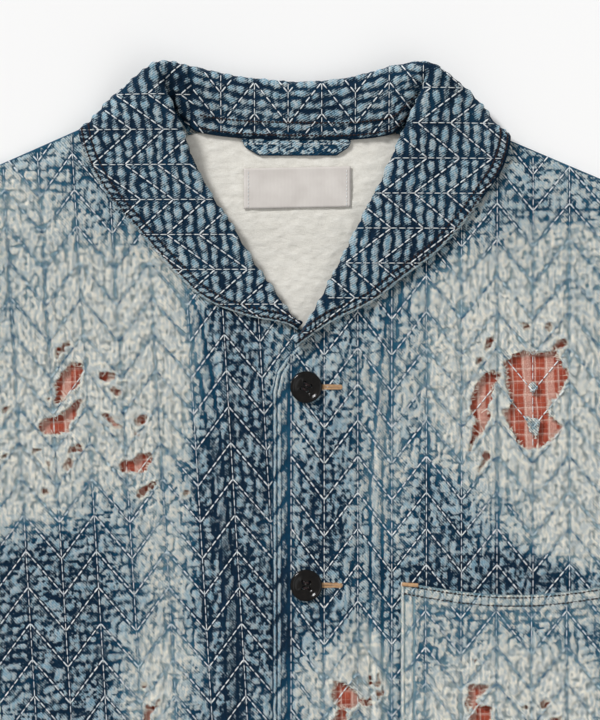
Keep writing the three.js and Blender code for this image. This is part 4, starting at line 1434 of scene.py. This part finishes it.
class JACKET_OT_pocket(bpy.types.Operator):
    """Build the patch pocket with its stitched hem"""

    bl_idname = "jacket.pocket"
    bl_label = "Pocket"

    def execute(self, context):
        def edge(x, y):
            below = pocket_mouth(x) - y
            return 0.5 * smooth(3.0, 1.6, x - POCKET["left"]) + 0.35 * smooth(2.0, 0.8, below)

        close_lines = np.round(np.arange(64.0, 76.0, 0.9), 3)
        obj = make_panel("pocket", pocket_outline(), pocket_top, pocket_relief, pocket_fade,
                         close_lines, edge)
        self.sew_hem()
        return {"FINISHED"}

    def sew_hem(self):
        """Two rows of brown thread along the mouth, and a tan bar tack at its corner."""

        def height(a, b):
            return panel_height(pocket_top, 0.35 * pocket_relief(a, b), a, b)

        x = np.arange(POCKET["left"] + 3, POCKET["right"] - 2, TOPSTITCH_PITCH)
        for k, row in enumerate(POCKET_ROWS):
            y = pocket_mouth(x) - row
            middle, along, up = on_height(height, x, y, 1 + 0 * x, 0 * x, 2.0, 0.25)
            lay_stitches(f"pocket_topstitch_{k + 1}", middle, along, up, 2.5, 1.15, "topstitch")
        count = 26
        x = POCKET["left"] + np.linspace(1.0, 11.0, count)
        y = pocket_mouth(POCKET["left"] + 6.0) - 0.6 - 0.6 * np.linspace(0, 1, count)
        z = pocket_top(x, y) + settings().pucker_height / MM * 0.8
        along = np.tile([0.15, 1.0, 0.0], (count, 1))
        lay_stitches("pocket_bartack", np.stack([x, y, z], 1), along, upward(count), 3.0, 0.6,
                     "buttonhole")


# ---- Collar piece --------------------------------------------------------------------------

COLLAR_MESH = 1.55
# How far along the roll from the middle the stand is seen behind the neck.
STAND_HALF = 92


class JACKET_OT_collar(bpy.types.Operator):
    """Build the shawl collar, its sashiko and its two rows of topstitching"""

    bl_idname = "jacket.collar"
    bl_label = "Shawl collar"

    def execute(self, context):
        s_low, s_high = COLLAR.s[0], COLLAR.s[-1]
        count = round((s_high - s_low) / COLLAR_MESH)
        s = np.linspace(s_low, s_high, count)
        w = np.concatenate([np.linspace(0, 1, 27), np.linspace(1, 2, 52)[1:]])
        nearest = (COLLAR.t_of(s) * COLLAR_STEPS).astype(int)
        v = np.array([np.interp(w, COLLAR.w, COLLAR.v[i]) for i in nearest])
        s_grid = np.repeat(s[:, None], len(w), 1)
        points, normals = COLLAR.surface(s_grid, v)
        behind = (w[None] < 1.0) & (np.abs(s_grid) < STAND_HALF)
        part = np.where(behind, 0, np.sign(s_grid)).astype(int)
        relief = collar_relief(s_grid, v, points[..., 0], points[..., 1])
        for k, lines in self.patterns():
            here = part == k
            away = stitch_distance(points[here][:, 0], points[here][:, 1], lines)
            relief[here] *= 1 - 0.6 * np.exp(-((away / 1.6) ** 2))
        # Where the stand tucks under each end of the roll: the cloth sinks there, and its colour is
        # darkened there as painted shade.
        crease_and_painted_shade = smooth(1.0, 0.8, w[None]) * smooth(STAND_HALF - 6, STAND_HALF, np.abs(s_grid))
        lift = COLLAR_CLOTH / 2 - 0.8 + settings().collar_pucker_height / MM * relief - 1.6 * crease_and_painted_shade
        points = points + normals * lift[..., None]
        points[..., 2] = np.maximum(points[..., 2], 0.4)
        _, high = COLLAR.span(s_grid)
        front = smooth(120, 150, np.abs(s_grid))
        rim = mix(0.35, 1.3, front) * smooth(1.8 + 0.8 * front, 0.5, high - v)
        # Pale at the worn outer rim; in the crease at the ends of the roll the colour is pushed dark as
        # painted shade.
        edge = rim + 0.16 * smooth(3, 0, np.abs(v)) - 0.4 * crease_and_painted_shade
        fade = 0.05 + 0.14 * noise(s_grid / 42, v / 30, 101) + 0.10 * noise(s_grid / 15, v / 12, 102)
        faces = grid_faces(v.shape)
        values = cloth_values(v.size, relief=relief, fade=np.clip(fade, 0, 1), edge=edge)
        obj = new_object("collar_cloth", points.reshape(-1, 3), faces, finish_for("collar denim"),
                         values)
        thicken(obj, COLLAR_CLOTH * 0.8)
        stand_in(obj, "denim", "collar")
        no_part = 9
        part_of_face = np.concatenate([part[:-1, :-1].ravel(), np.full(4 * len(faces), no_part)])
        self.sew(obj, part_of_face)
        self.topstitch(obj)
        return {"FINISHED"}

    def patterns(self):
        """Stitches over each part of the collar: its place, first points and how it lies."""
        stand = sashiko(-95, 85, 320, 375, -30.5, 350.5, anywhere, column=21.8, row=20.0, tall=27.0)
        made = [(0, stand)]
        for side, first_x, first_y, lean in ((-1, 34.0, 288.0, 0.13), (1, 86.0, 269.5, -0.05)):
            turned = sashiko(185, 385, -150, 150, first_y, side * first_x, anywhere,
                             column=22.6, row=21.1, tall=28.6)
            y, x = turned[:, 0].copy(), turned[:, 1].copy()
            dy, dx = turned[:, 2].copy(), turned[:, 3].copy()
            turned[:, 0], turned[:, 1] = x - lean * (y - first_y), y
            turned[:, 2], turned[:, 3] = dx - lean * dy, dy
            made.append((side, turned))
        return made

    def sew(self, obj, part_of_face):
        ground = Ground(obj)
        sewn = []
        for part, lines in self.patterns():
            _, faces = ground.hits(lines[:, 0], lines[:, 1])
            ok = (faces >= 0) & (part_of_face[faces] == part)
            sewn.append(lines[ok])
        x, y, dx, dy, reach, zigzag = np.vstack(sewn).T
        middle, along, up = on_height(ground.height, x, y, dx, dy, reach, 0.2)
        flat = np.abs(along[:, 2]) < 1.6 * np.hypot(along[:, 0], along[:, 1])
        reach = np.linalg.norm(along, axis=1) / TOUCH
        weight = mix(0.66, 1.05, zigzag)
        lay_stitches("collar_sashiko", middle[flat], along[flat], up[flat], reach[flat],
                     settings().thread_width / MM, "sashiko", weight[flat])

    def topstitch(self, obj):
        s = np.arange(COLLAR.s[0] + 3, COLLAR.s[-1] - 3, TOPSTITCH_PITCH)
        low, high = COLLAR.span(s)
        ground = Ground(obj)
        rows = [(f"collar_topstitch_{k + 1}", high - row) for k, row in enumerate(COLLAR_HEM)]
        behind = np.abs(s) < 84
        rows += [("collar_stand_topstitch_1", np.where(behind, low + 3.0, np.nan)),
                 ("collar_stand_topstitch_2", np.where(behind, low + 11.5, np.nan))]
        for name, v in rows:
            use = np.isfinite(v)
            here, _ = COLLAR.surface(s[use], v[use])
            ahead, _ = COLLAR.surface(s[use] + 1.2, v[use])
            run = unit((ahead - here)[:, :2])
            x, y = here[:, 0], here[:, 1]
            seen = np.abs(ground.height(x, y) - here[:, 2]) < 4.0
            x, y, run = x[seen], y[seen], run[seen]
            middle, along, up = on_height(ground.height, x, y, run[:, 0], run[:, 1], 2.3, 0.3)
            reach = np.linalg.norm(along, axis=1) / TOUCH
            lay_stitches(name, middle, along, up, np.minimum(reach, 3.4),
                         settings().seam_thread_width / MM, "topstitch")


# ---- Back, lining, loop and label ----------------------------------------------------------


BACK_MESH = 5.0
LINING_MESH = 1.8
LOOP_X = (-38.5, 32.6)
LOOP_TOP = 328.6
# The lower edge of the hanger loop: X, then Y.
LOOP_FOOT = ([-38.5, -36.5, -27.6, 22.7, 30.5, 32.5], [326.0, 322.0, 316.8, 316.8, 322.0, 326.0])
LABEL_X = (-37.5, 32.0)
LABEL_Y = (282.8, 309.2)


class JACKET_OT_back(bpy.types.Operator):
    """Build the back panel, the lining seen through the neck, the hanger loop and the label"""

    bl_idname = "jacket.back"
    bl_label = "Back and neck"

    def execute(self, context):
        outline = [tuple(map(float, p)) for p in BACK]
        xs, ys = np.arange(-302, 302.1, BACK_MESH), np.arange(-376, 352, BACK_MESH)
        x, y, faces = trimmed_grid(xs, ys, lambda a, b: distance_inside(outline, a, b))
        fade = np.clip(0.45 + 0.25 * noise(x / 90, y / 90, 7), 0, 1)
        edge = 0.5 * np.exp(-distance_inside(outline, x, y) / 3)
        values = cloth_values(len(x), fade=fade, edge=edge, coarse=1.0)
        points = np.stack([x, y, neck_lift(x, y)], 1)
        back = new_object("back_cloth", points, faces, finish_for("denim"), values)
        thicken(back, CLOTH, offset=1.0)
        stand_in(back, "denim", "back")

        self.make_lining()
        self.make_loop()
        self.make_label()
        return {"FINISHED"}

    def make_lining(self):
        outline = smooth_loop(LINING, 3)
        xs, ys = np.arange(-100, 92, LINING_MESH), np.arange(176, 334, LINING_MESH)
        x, y, faces = trimmed_grid(xs, ys, lambda a, b: distance_inside(outline, a, b))
        dimples = 0.35 * noise(x / 9, y / 3.6, 51) + 0.3 * noise(x / 5, y / 3.6, 52)
        dimples = np.clip(dimples, -0.6, 0.8) * smooth(0, 4, distance_inside(outline, x, y))
        points = np.stack([x, y, lining_top(x, y) + dimples], 1)
        lining = new_object("back_lining_cloth", points, faces, finish_for("lining"))
        thicken(lining, LINING_CLOTH * 0.7)
        stand_in(lining, "lining", "back_lining")

    def make_loop(self):
        xs = np.arange(*LOOP_X, 0.8)
        rows = np.linspace(0, 1, 13)
        foot = np.interp(xs, *LOOP_FOOT)
        x = np.repeat(xs[:, None], len(rows), 1)
        y = foot[:, None] + rows[None] * (LOOP_TOP - foot[:, None])
        crown = np.interp(rows, [0, 0.1, 0.25, 0.5, 0.8, 1], [0.0, 0.8, 1.0, 0.7, 1.0, 0.6])[None]
        puckered = worms(x, y, 151)
        z = lining_top(x, y) + SEAM_GAP + 0.8 + 0.5 * crown + 0.7 * puckered
        values = cloth_values(x.size, relief=puckered * crown, fade=0.2)
        points = np.stack([x, y, z], -1).reshape(-1, 3)
        loop = new_object("hanger_loop_cloth", points, grid_faces(x.shape),
                          finish_for("collar denim"), values)
        thicken(loop, 0.9)
        stand_in(loop, "denim", "hanger_loop")
        x = np.arange(-34, 29, 2.6)
        y = 324.4 + 0 * x
        ground = Ground(loop)
        middle, along, up = on_height(ground.height, x, y, 0 * x + 1, 0 * x, 2.2, 0.15)
        lay_stitches("hanger_loop_stitches", middle, along, up, 2.2, 0.45, "sashiko")

    def make_label(self):
        def height(a, b):
            return lining_top(a, b) + SEAM_GAP + 1.0 + 0.5 * noise(a / 22, b / 18, 95)

        xs, rows = np.linspace(*LABEL_X, 48), np.linspace(0, 1, 20)
        x = np.repeat(xs[:, None], len(rows), 1)
        y = mix(*LABEL_Y, rows)[None] + 0.02 * (x + 3)
        points = np.stack([x, y, height(x, y)], -1).reshape(-1, 3)
        label = new_object("neck_label_cloth", points, grid_faces(x.shape), finish_for("label"))
        thicken(label, 0.4)
        stand_in(label, "label", "neck_label")
        y = np.concatenate([np.arange(284.0, 308.0, 2.4), np.arange(285.3, 309.3, 2.4)])
        x = np.repeat([-34.6, 29.4], len(y) // 2)
        points = np.stack([x, y, height(x, y) + 0.15], 1)
        along = np.tile([0.0, 1.0, 0.0], (len(x), 1))
        lay_stitches("label_stitches", points, along, upward(len(x)), 1.8, 0.4, "sashiko")


# ---- Sleeves -------------------------------------------------------------------------------


class Sleeve:
    """The laid sleeve's outline, by t from armhole to cuff and c from top fold to underarm."""

    def __init__(self, side):
        self.side = side
        gap = np.array([side * ARM_GAP, 0.0])
        self.tip, self.arm = armhole(side, 0.0) + gap, armhole(side, 1.0) + gap
        along = np.array([side * np.cos(SLEEVE_DROP), -np.sin(SLEEVE_DROP)])
        inward = np.array([-side * np.sin(SLEEVE_DROP), -np.cos(SLEEVE_DROP)])
        self.cuff_top = self.tip + along * SLEEVE_LENGTH - inward * SLEEVE_BULGE
        self.cuff_under = self.cuff_top + inward * CUFF_WIDTH
        self.upper = (self.tip, self.tip + [side * 95, -40],
                      self.cuff_top - 230 * along, self.cuff_top)
        self.under = (self.arm, self.arm + [side * 30, -45],
                      self.cuff_under - 150 * along, self.cuff_under)

    def at(self, t, c):
        hole = armhole(self.side, c) + [self.side * ARM_GAP, 0.0]
        cuff = mix(self.cuff_top, self.cuff_under, c[..., None])
        edges = mix(cubic(*self.upper, t), cubic(*self.under, t), c[..., None])
        ends = mix(hole, cuff, t[..., None])
        corners = mix(mix(self.tip, self.arm, c[..., None]), cuff, t[..., None])
        return edges + ends - corners


class JACKET_OT_sleeves(bpy.types.Operator):
    """Build both sleeves as flattened tubes with turned cuffs"""

    bl_idname = "jacket.sleeves"
    bl_label = "Sleeves"

    def execute(self, context):
        for side, name in ((-1, "sleeve_right"), (1, "sleeve_left")):
            self.make_sleeve(side, name)
        return {"FINISHED"}

    def make_sleeve(self, side, name):
        sleeve = Sleeve(side)
        t = np.linspace(0, 1, 112)
        turn = np.linspace(0, 2 * np.pi, 97)[:-1]
        c = 0.5 - 0.5 * np.sign(np.cos(turn)) * np.abs(np.cos(turn)) ** 0.92
        z = SLEEVE_HEIGHT / 2 * (1 + np.sign(np.sin(turn)) * np.abs(np.sin(turn)) ** 0.28)
        t_grid, c_grid = np.meshgrid(t, c, indexing="ij")
        plane = sleeve.at(t_grid, c_grid)
        x, y = plane[..., 0], plane[..., 1]
        z = np.repeat(z[None], len(t), 0)
        top = smooth(0.5, 0.9, z / SLEEVE_HEIGHT)
        z = z + top * self.folds(t_grid, c_grid)
        points = np.stack([x, y, z], -1).reshape(-1, 3)
        to_cuff = (1 - t_grid) * SLEEVE_LENGTH
        fade = 0.42 + 0.3 * noise(x / 60, y / 80, 17) + 0.14 * noise(x / 20, y / 20, 18)
        fade = np.clip(fade, 0, 1) - 0.16 * smooth(24, 20, to_cuff)
        seam = 0.4 * np.exp(-(((to_cuff - SLEEVE_HEM) / 2.2) ** 2))
        values = cloth_values(x.size, fade=np.clip(fade, 0, 1), edge=seam, coarse=1.0)
        obj = new_object(name + "_cloth", points, grid_faces(x.shape, closed=True),
                         finish_for("denim"), values)
        self.face_outwards(obj)
        thicken(obj, CLOTH * 0.75)
        stand_in(obj, "denim", name)
        self.sew(sleeve, name)

    def folds(self, t, c):
        """Soft creases that fan from the underarm, and flat ones across the elbow."""
        reach = t * SLEEVE_LENGTH
        fan = np.exp(-reach / 130) * 1.1 * np.sin(9 * c + reach / 38 + 1.5 * noise(t * 6, c * 4, 41))
        elbow = np.exp(-(((reach - 300) / 90) ** 2)) * 1.0 * noise(reach / 26, c * 2.2, 43)
        return fan + elbow - 0.4

    def face_outwards(self, obj):
        mesh = obj.data
        total = sum(p.center.z * p.normal.z * p.area for p in mesh.polygons)
        if total < 0:
            mesh.flip_normals()

    def sew(self, sleeve, name):
        """The pattern runs down the sleeve, with its columns side by side across it."""
        length, width = SLEEVE_LENGTH, SLEEVE_WIDTH

        def keep(a, b):
            return np.minimum(np.minimum(a, width - a), np.minimum(b, length - b)) - 1

        lines = sashiko(0, width, 0, length, 8, 10, keep)
        a, b, da, db, reach, zigzag = lines.T
        narrow = mix(1.0, CUFF_WIDTH / width, b / length)
        c = 0.5 + (a / width - 0.5) / narrow
        inside = (c > 0.03) & (c < 0.97)
        a, b, da, db, reach, zigzag, c = (v[inside] for v in (a, b, da, db, reach, zigzag, c))
        t = b / length

        def at(tt, cc):
            plane = sleeve.at(np.clip(tt, 0, 1), np.clip(cc, 0.001, 0.999))
            turn = np.arccos(np.clip(1 - 2 * cc, -1, 1))
            z = SLEEVE_HEIGHT / 2 * (1 + np.sin(turn) ** 0.28) + self.folds(tt, cc)
            return np.concatenate([plane, z[:, None]], 1)

        half = reach * 0.45
        ends = [at(t + side * db * half / length, c + side * da * half / width) for side in (-1, 1)]
        along = ends[1] - ends[0]
        middle = (ends[0] + ends[1]) / 2 + [0, 0, 0.35]
        lay_stitches(name + "_sashiko", middle, along, upward(len(t)), reach, 0.8, "sashiko",
                     mix(0.75, 1.0, zigzag), 0.4)


# ---- Buttons and buttonholes ---------------------------------------------------------------


class JACKET_OT_buttons(bpy.types.Operator):
    """Build the four-hole buttons, their thread and the buttonholes"""

    bl_idname = "jacket.buttons"
    bl_label = "Buttons and buttonholes"

    HOLE_CIRCLE = 2.5
    HOLE_RADIUS = 1.05
    # Half of the disc's section, from the middle underneath to the middle on top.
    PROFILE = [(0.0, 0.0), (7.6, 0.0), (9.2, 0.35), (10.1, 1.1), (10.4, 1.9), (10.25, 2.7),
               (9.7, 3.35), (9.0, 3.6), (8.3, 3.5), (7.8, 3.15), (7.3, 2.75), (6.4, 2.55),
               (3.2, 2.45), (0.0, 2.4)]

    def execute(self, context):
        for i in range(BUTTONS):
            node = f"button_{i + 1}"
            low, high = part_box(node)
            centre = ((low[0] + high[0]) / 2 / MM, (low[1] + high[1]) / 2 / MM, low[2] / MM)
            self.make_button(node, centre, 0.3 + 0.45 * i)
            self.make_buttonhole(i + 1, centre)
        return {"FINISHED"}

    def make_button(self, node, centre, turn):
        segments = 48
        points, faces = [(0, 0, self.PROFILE[0][1])], []
        rings = self.PROFILE[1:-1]
        angles = np.linspace(0, 2 * np.pi, segments, endpoint=False)
        for r, z in rings:
            points += [(r * np.cos(a), r * np.sin(a), z) for a in angles]
        points.append((0, 0, self.PROFILE[-1][1]))
        last = len(points) - 1
        for k in range(segments):
            n = (k + 1) % segments
            faces.append((0, 1 + n, 1 + k))
            for ring in range(len(rings) - 1):
                a, b = 1 + ring * segments, 1 + (ring + 1) * segments
                faces.append((a + k, a + n, b + n, b + k))
            end = 1 + (len(rings) - 1) * segments
            faces.append((last, end + k, end + n))
        points = np.array(points, float) + centre
        obj = new_object(node + "_disc", points, faces, finish_for("button"))
        for k in range(4):
            self.drill(obj, centre, turn + k * np.pi / 2)
        stand_in(obj, "button", node)
        self.make_thread(node, centre, turn)

    def drill(self, obj, centre, angle):
        x = centre[0] + self.HOLE_CIRCLE * np.cos(angle)
        y = centre[1] + self.HOLE_CIRCLE * np.sin(angle)
        bpy.ops.mesh.primitive_cylinder_add(vertices=20, radius=self.HOLE_RADIUS * MM, depth=12 * MM,
                                            location=(x * MM, y * MM, centre[2] * MM))
        tool = bpy.context.object
        cut = obj.modifiers.new("Hole", "BOOLEAN")
        cut.operation, cut.solver, cut.object = "DIFFERENCE", "EXACT", tool
        apply_modifiers(obj)
        bpy.data.objects.remove(tool)

    def make_thread(self, node, centre, turn):
        points, along = [], []
        for pair in (0, 1):
            for side in (-0.28, 0.0, 0.28):
                a0, a1 = turn + pair * np.pi, turn + pair * np.pi + np.pi / 2
                start, end = (self.HOLE_CIRCLE * np.array([np.cos(a), np.sin(a)]) for a in (a0, a1))
                run = unit(end - start)
                middle = (start + end) / 2 + side * np.array([-run[1], run[0]])
                points.append((centre[0] + middle[0], centre[1] + middle[1], centre[2] + 2.7))
                along.append((*run, 0.0))
        lay_stitches(node + "_thread", points, along, upward(len(points)), 4.6, 0.55, "topstitch")

    def make_buttonhole(self, number, centre):
        """A worked slit that runs on from under the button."""
        start, end, half = centre[0] + 4.0, centre[0] + 22.0, 0.85
        x = np.arange(start, end, 0.62)
        points, along = [], []
        for side in (-1, 1):
            y = centre[1] + side * half + 0 * x
            points += list(np.stack([x, y], 1))
            along += [(0.12, 1.0)] * len(x)
        for angle in np.linspace(-np.pi / 2, np.pi / 2, 9)[1:-1]:
            points.append((end + half * np.cos(angle), centre[1] + half * np.sin(angle)))
            along.append((np.cos(angle), np.sin(angle)))
        points, along = np.array(points), np.array(along)
        x, y = points.T
        z = panel_height(left_top, 0.55 * left_relief(x, y), x, y) + 0.35
        along = np.column_stack([along, 0 * z])
        lay_stitches(f"buttonhole_{number}", np.column_stack([points, z]), along, upward(len(z)),
                     2.1, 0.75, "buttonhole")
        slit = np.linspace(start, end, 9)
        place = np.column_stack([slit, centre[1] + 0 * slit, np.interp(slit, x, z)])
        along = np.tile([1.0, 0.0, 0.0], (len(slit), 1))
        lay_stitches(f"buttonhole_{number}_slit", place, along, upward(len(slit)), 3.4, 0.35,
                     "topstitch")


# ---- Frayed edges --------------------------------------------------------------------------


class JACKET_OT_frays(bpy.types.Operator):
    """Fray the edges of every hole"""

    bl_idname = "jacket.frays"
    bl_label = "Frayed threads"

    def execute(self, context):
        random = np.random.default_rng(14)
        tops = {"front_left": left_top, "front_right": right_top, "pocket": pocket_top}
        for name, outlines in HOLES.items():
            points, along, reach, weight = [], [], [], []
            for outline in outlines:
                self.fringe(outline, tops[name], random, points, along, reach, weight)
            lay_stitches(name + "_frays", points, along, upward(len(points)), reach, 0.42, "fibre",
                         weight)
        return {"FINISHED"}

    def fringe(self, outline, top, random, points, along, reach, weight):
        loop = np.array(smooth_loop(outline, 4))
        after = np.roll(loop, -1, 0)
        run = after - loop
        lengths = np.linalg.norm(run, axis=1)
        area = 0.5 * np.sum(loop[:, 0] * after[:, 1] - after[:, 0] * loop[:, 1])
        inward = np.stack([-run[:, 1], run[:, 0]], 1) / np.maximum(lengths, 1e-6)[:, None]
        inward = inward * np.sign(area)
        for i in range(len(loop)):
            for _ in range(random.poisson(lengths[i] * 1.1)):
                length = random.gamma(2.2, 0.85) + 0.8
                bend = random.normal(0, 0.5)
                d = inward[i] + bend * run[i] / max(lengths[i], 1e-6)
                d = d / np.linalg.norm(d)
                start = loop[i] + run[i] * random.random()
                middle = start + d * length * 0.32
                z = float(top(*np.array(middle)[:, None])[0]) - random.uniform(0.1, 1.2)
                points.append((*middle, z + 0.9))
                along.append((*d, random.normal(-0.25, 0.25)))
                reach.append(length)
                weight.append(random.uniform(0.5, 1.1))


# ---- Stage ---------------------------------------------------------------------------------

CAMERA_CENTRE = (-1.0, 184.0)
CAMERA_DISTANCE = 2400.0
VIEW_HEIGHT = 468.0
VIEW_LEVEL = 8.0

# Each sun's name, the way to it from the middle of the view, its spread in degrees and its strength.
SUNS = (("Key", (-1.2, 1.3, 1.2), 14, 3.0), ("Fill", (1.4, -0.6, 1.9), 50, 0.45))


class JACKET_OT_stage(bpy.types.Operator):
    """Set the pale floor, the soft lights and the camera"""

    bl_idname = "jacket.stage"
    bl_label = "Stage"

    def execute(self, context):
        scene = context.scene
        scene.view_settings.view_transform = "Standard"
        bpy.ops.mesh.primitive_plane_add(size=9, location=(0, 0, -0.0004))
        floor = context.object
        floor.name = "floor"
        paint = Finish("Pale floor", roughness=0.95)
        paint.color(paint.noise(700.0).ramp((0.3, "f1f1f1"), (0.7, "f4f4f4")))
        floor.data.materials.append(paint.material)

        world = bpy.data.worlds.new("Soft room")
        scene.world = world
        world.use_nodes = True
        sky = world.node_tree.nodes["Background"]
        sky.inputs["Color"].default_value = (1.0, 0.995, 0.985, 1.0)
        sky.inputs["Strength"].default_value = 0.42

        middle = Vector((CAMERA_CENTRE[0] * MM, CAMERA_CENTRE[1] * MM, 0))
        for name, offset, spread, energy in SUNS:
            lamp = bpy.data.lights.new(name, "SUN")
            lamp.energy, lamp.angle = energy, np.radians(spread)
            light = bpy.data.objects.new(name, lamp)
            light.location = middle + Vector(offset)
            light.rotation_euler = (-Vector(offset)).to_track_quat("-Z", "Y").to_euler()
            scene.collection.objects.link(light)

        lens = bpy.data.cameras.new("Overhead")
        lens.sensor_fit = "VERTICAL"
        lens.sensor_height = 24.0
        lens.lens = lens.sensor_height * (CAMERA_DISTANCE - VIEW_LEVEL) / VIEW_HEIGHT
        lens.clip_end = 20
        camera = bpy.data.objects.new("Overhead", lens)
        camera.location = middle + Vector((0, 0, CAMERA_DISTANCE * MM))
        scene.collection.objects.link(camera)
        scene.camera = camera
        return {"FINISHED"}


class JACKET_PT_panel(bpy.types.Panel):
    """Lists the jacket's pieces in the sidebar"""

    bl_idname = "JACKET_PT_panel"
    bl_label = "Jacket"
    bl_space_type = "VIEW_3D"
    bl_region_type = "UI"
    bl_category = "Jacket"

    def draw(self, context):
        for name in JacketSettings.__annotations__:
            self.layout.prop(context.scene.jacket, name)
        for operator in OPERATORS:
            self.layout.operator(operator.bl_idname)


OPERATORS = [JACKET_OT_stage, JACKET_OT_back, JACKET_OT_patches, JACKET_OT_fronts, JACKET_OT_pocket,
             JACKET_OT_collar, JACKET_OT_sleeves, JACKET_OT_buttons, JACKET_OT_frays]
CLASSES = [JacketSettings, *OPERATORS, JACKET_PT_panel]


def register():
    for cls in CLASSES:
        bpy.utils.register_class(cls)
    bpy.types.Scene.jacket = bpy.props.PointerProperty(type=JacketSettings)


def unregister():
    del bpy.types.Scene.jacket
    for cls in reversed(CLASSES):
        bpy.utils.unregister_class(cls)


def main():
    register()
    for operator in OPERATORS:
        getattr(bpy.ops.jacket, operator.bl_idname.split(".")[1])()
    remove_stitch_body()


if __name__ == "__main__":
    main()
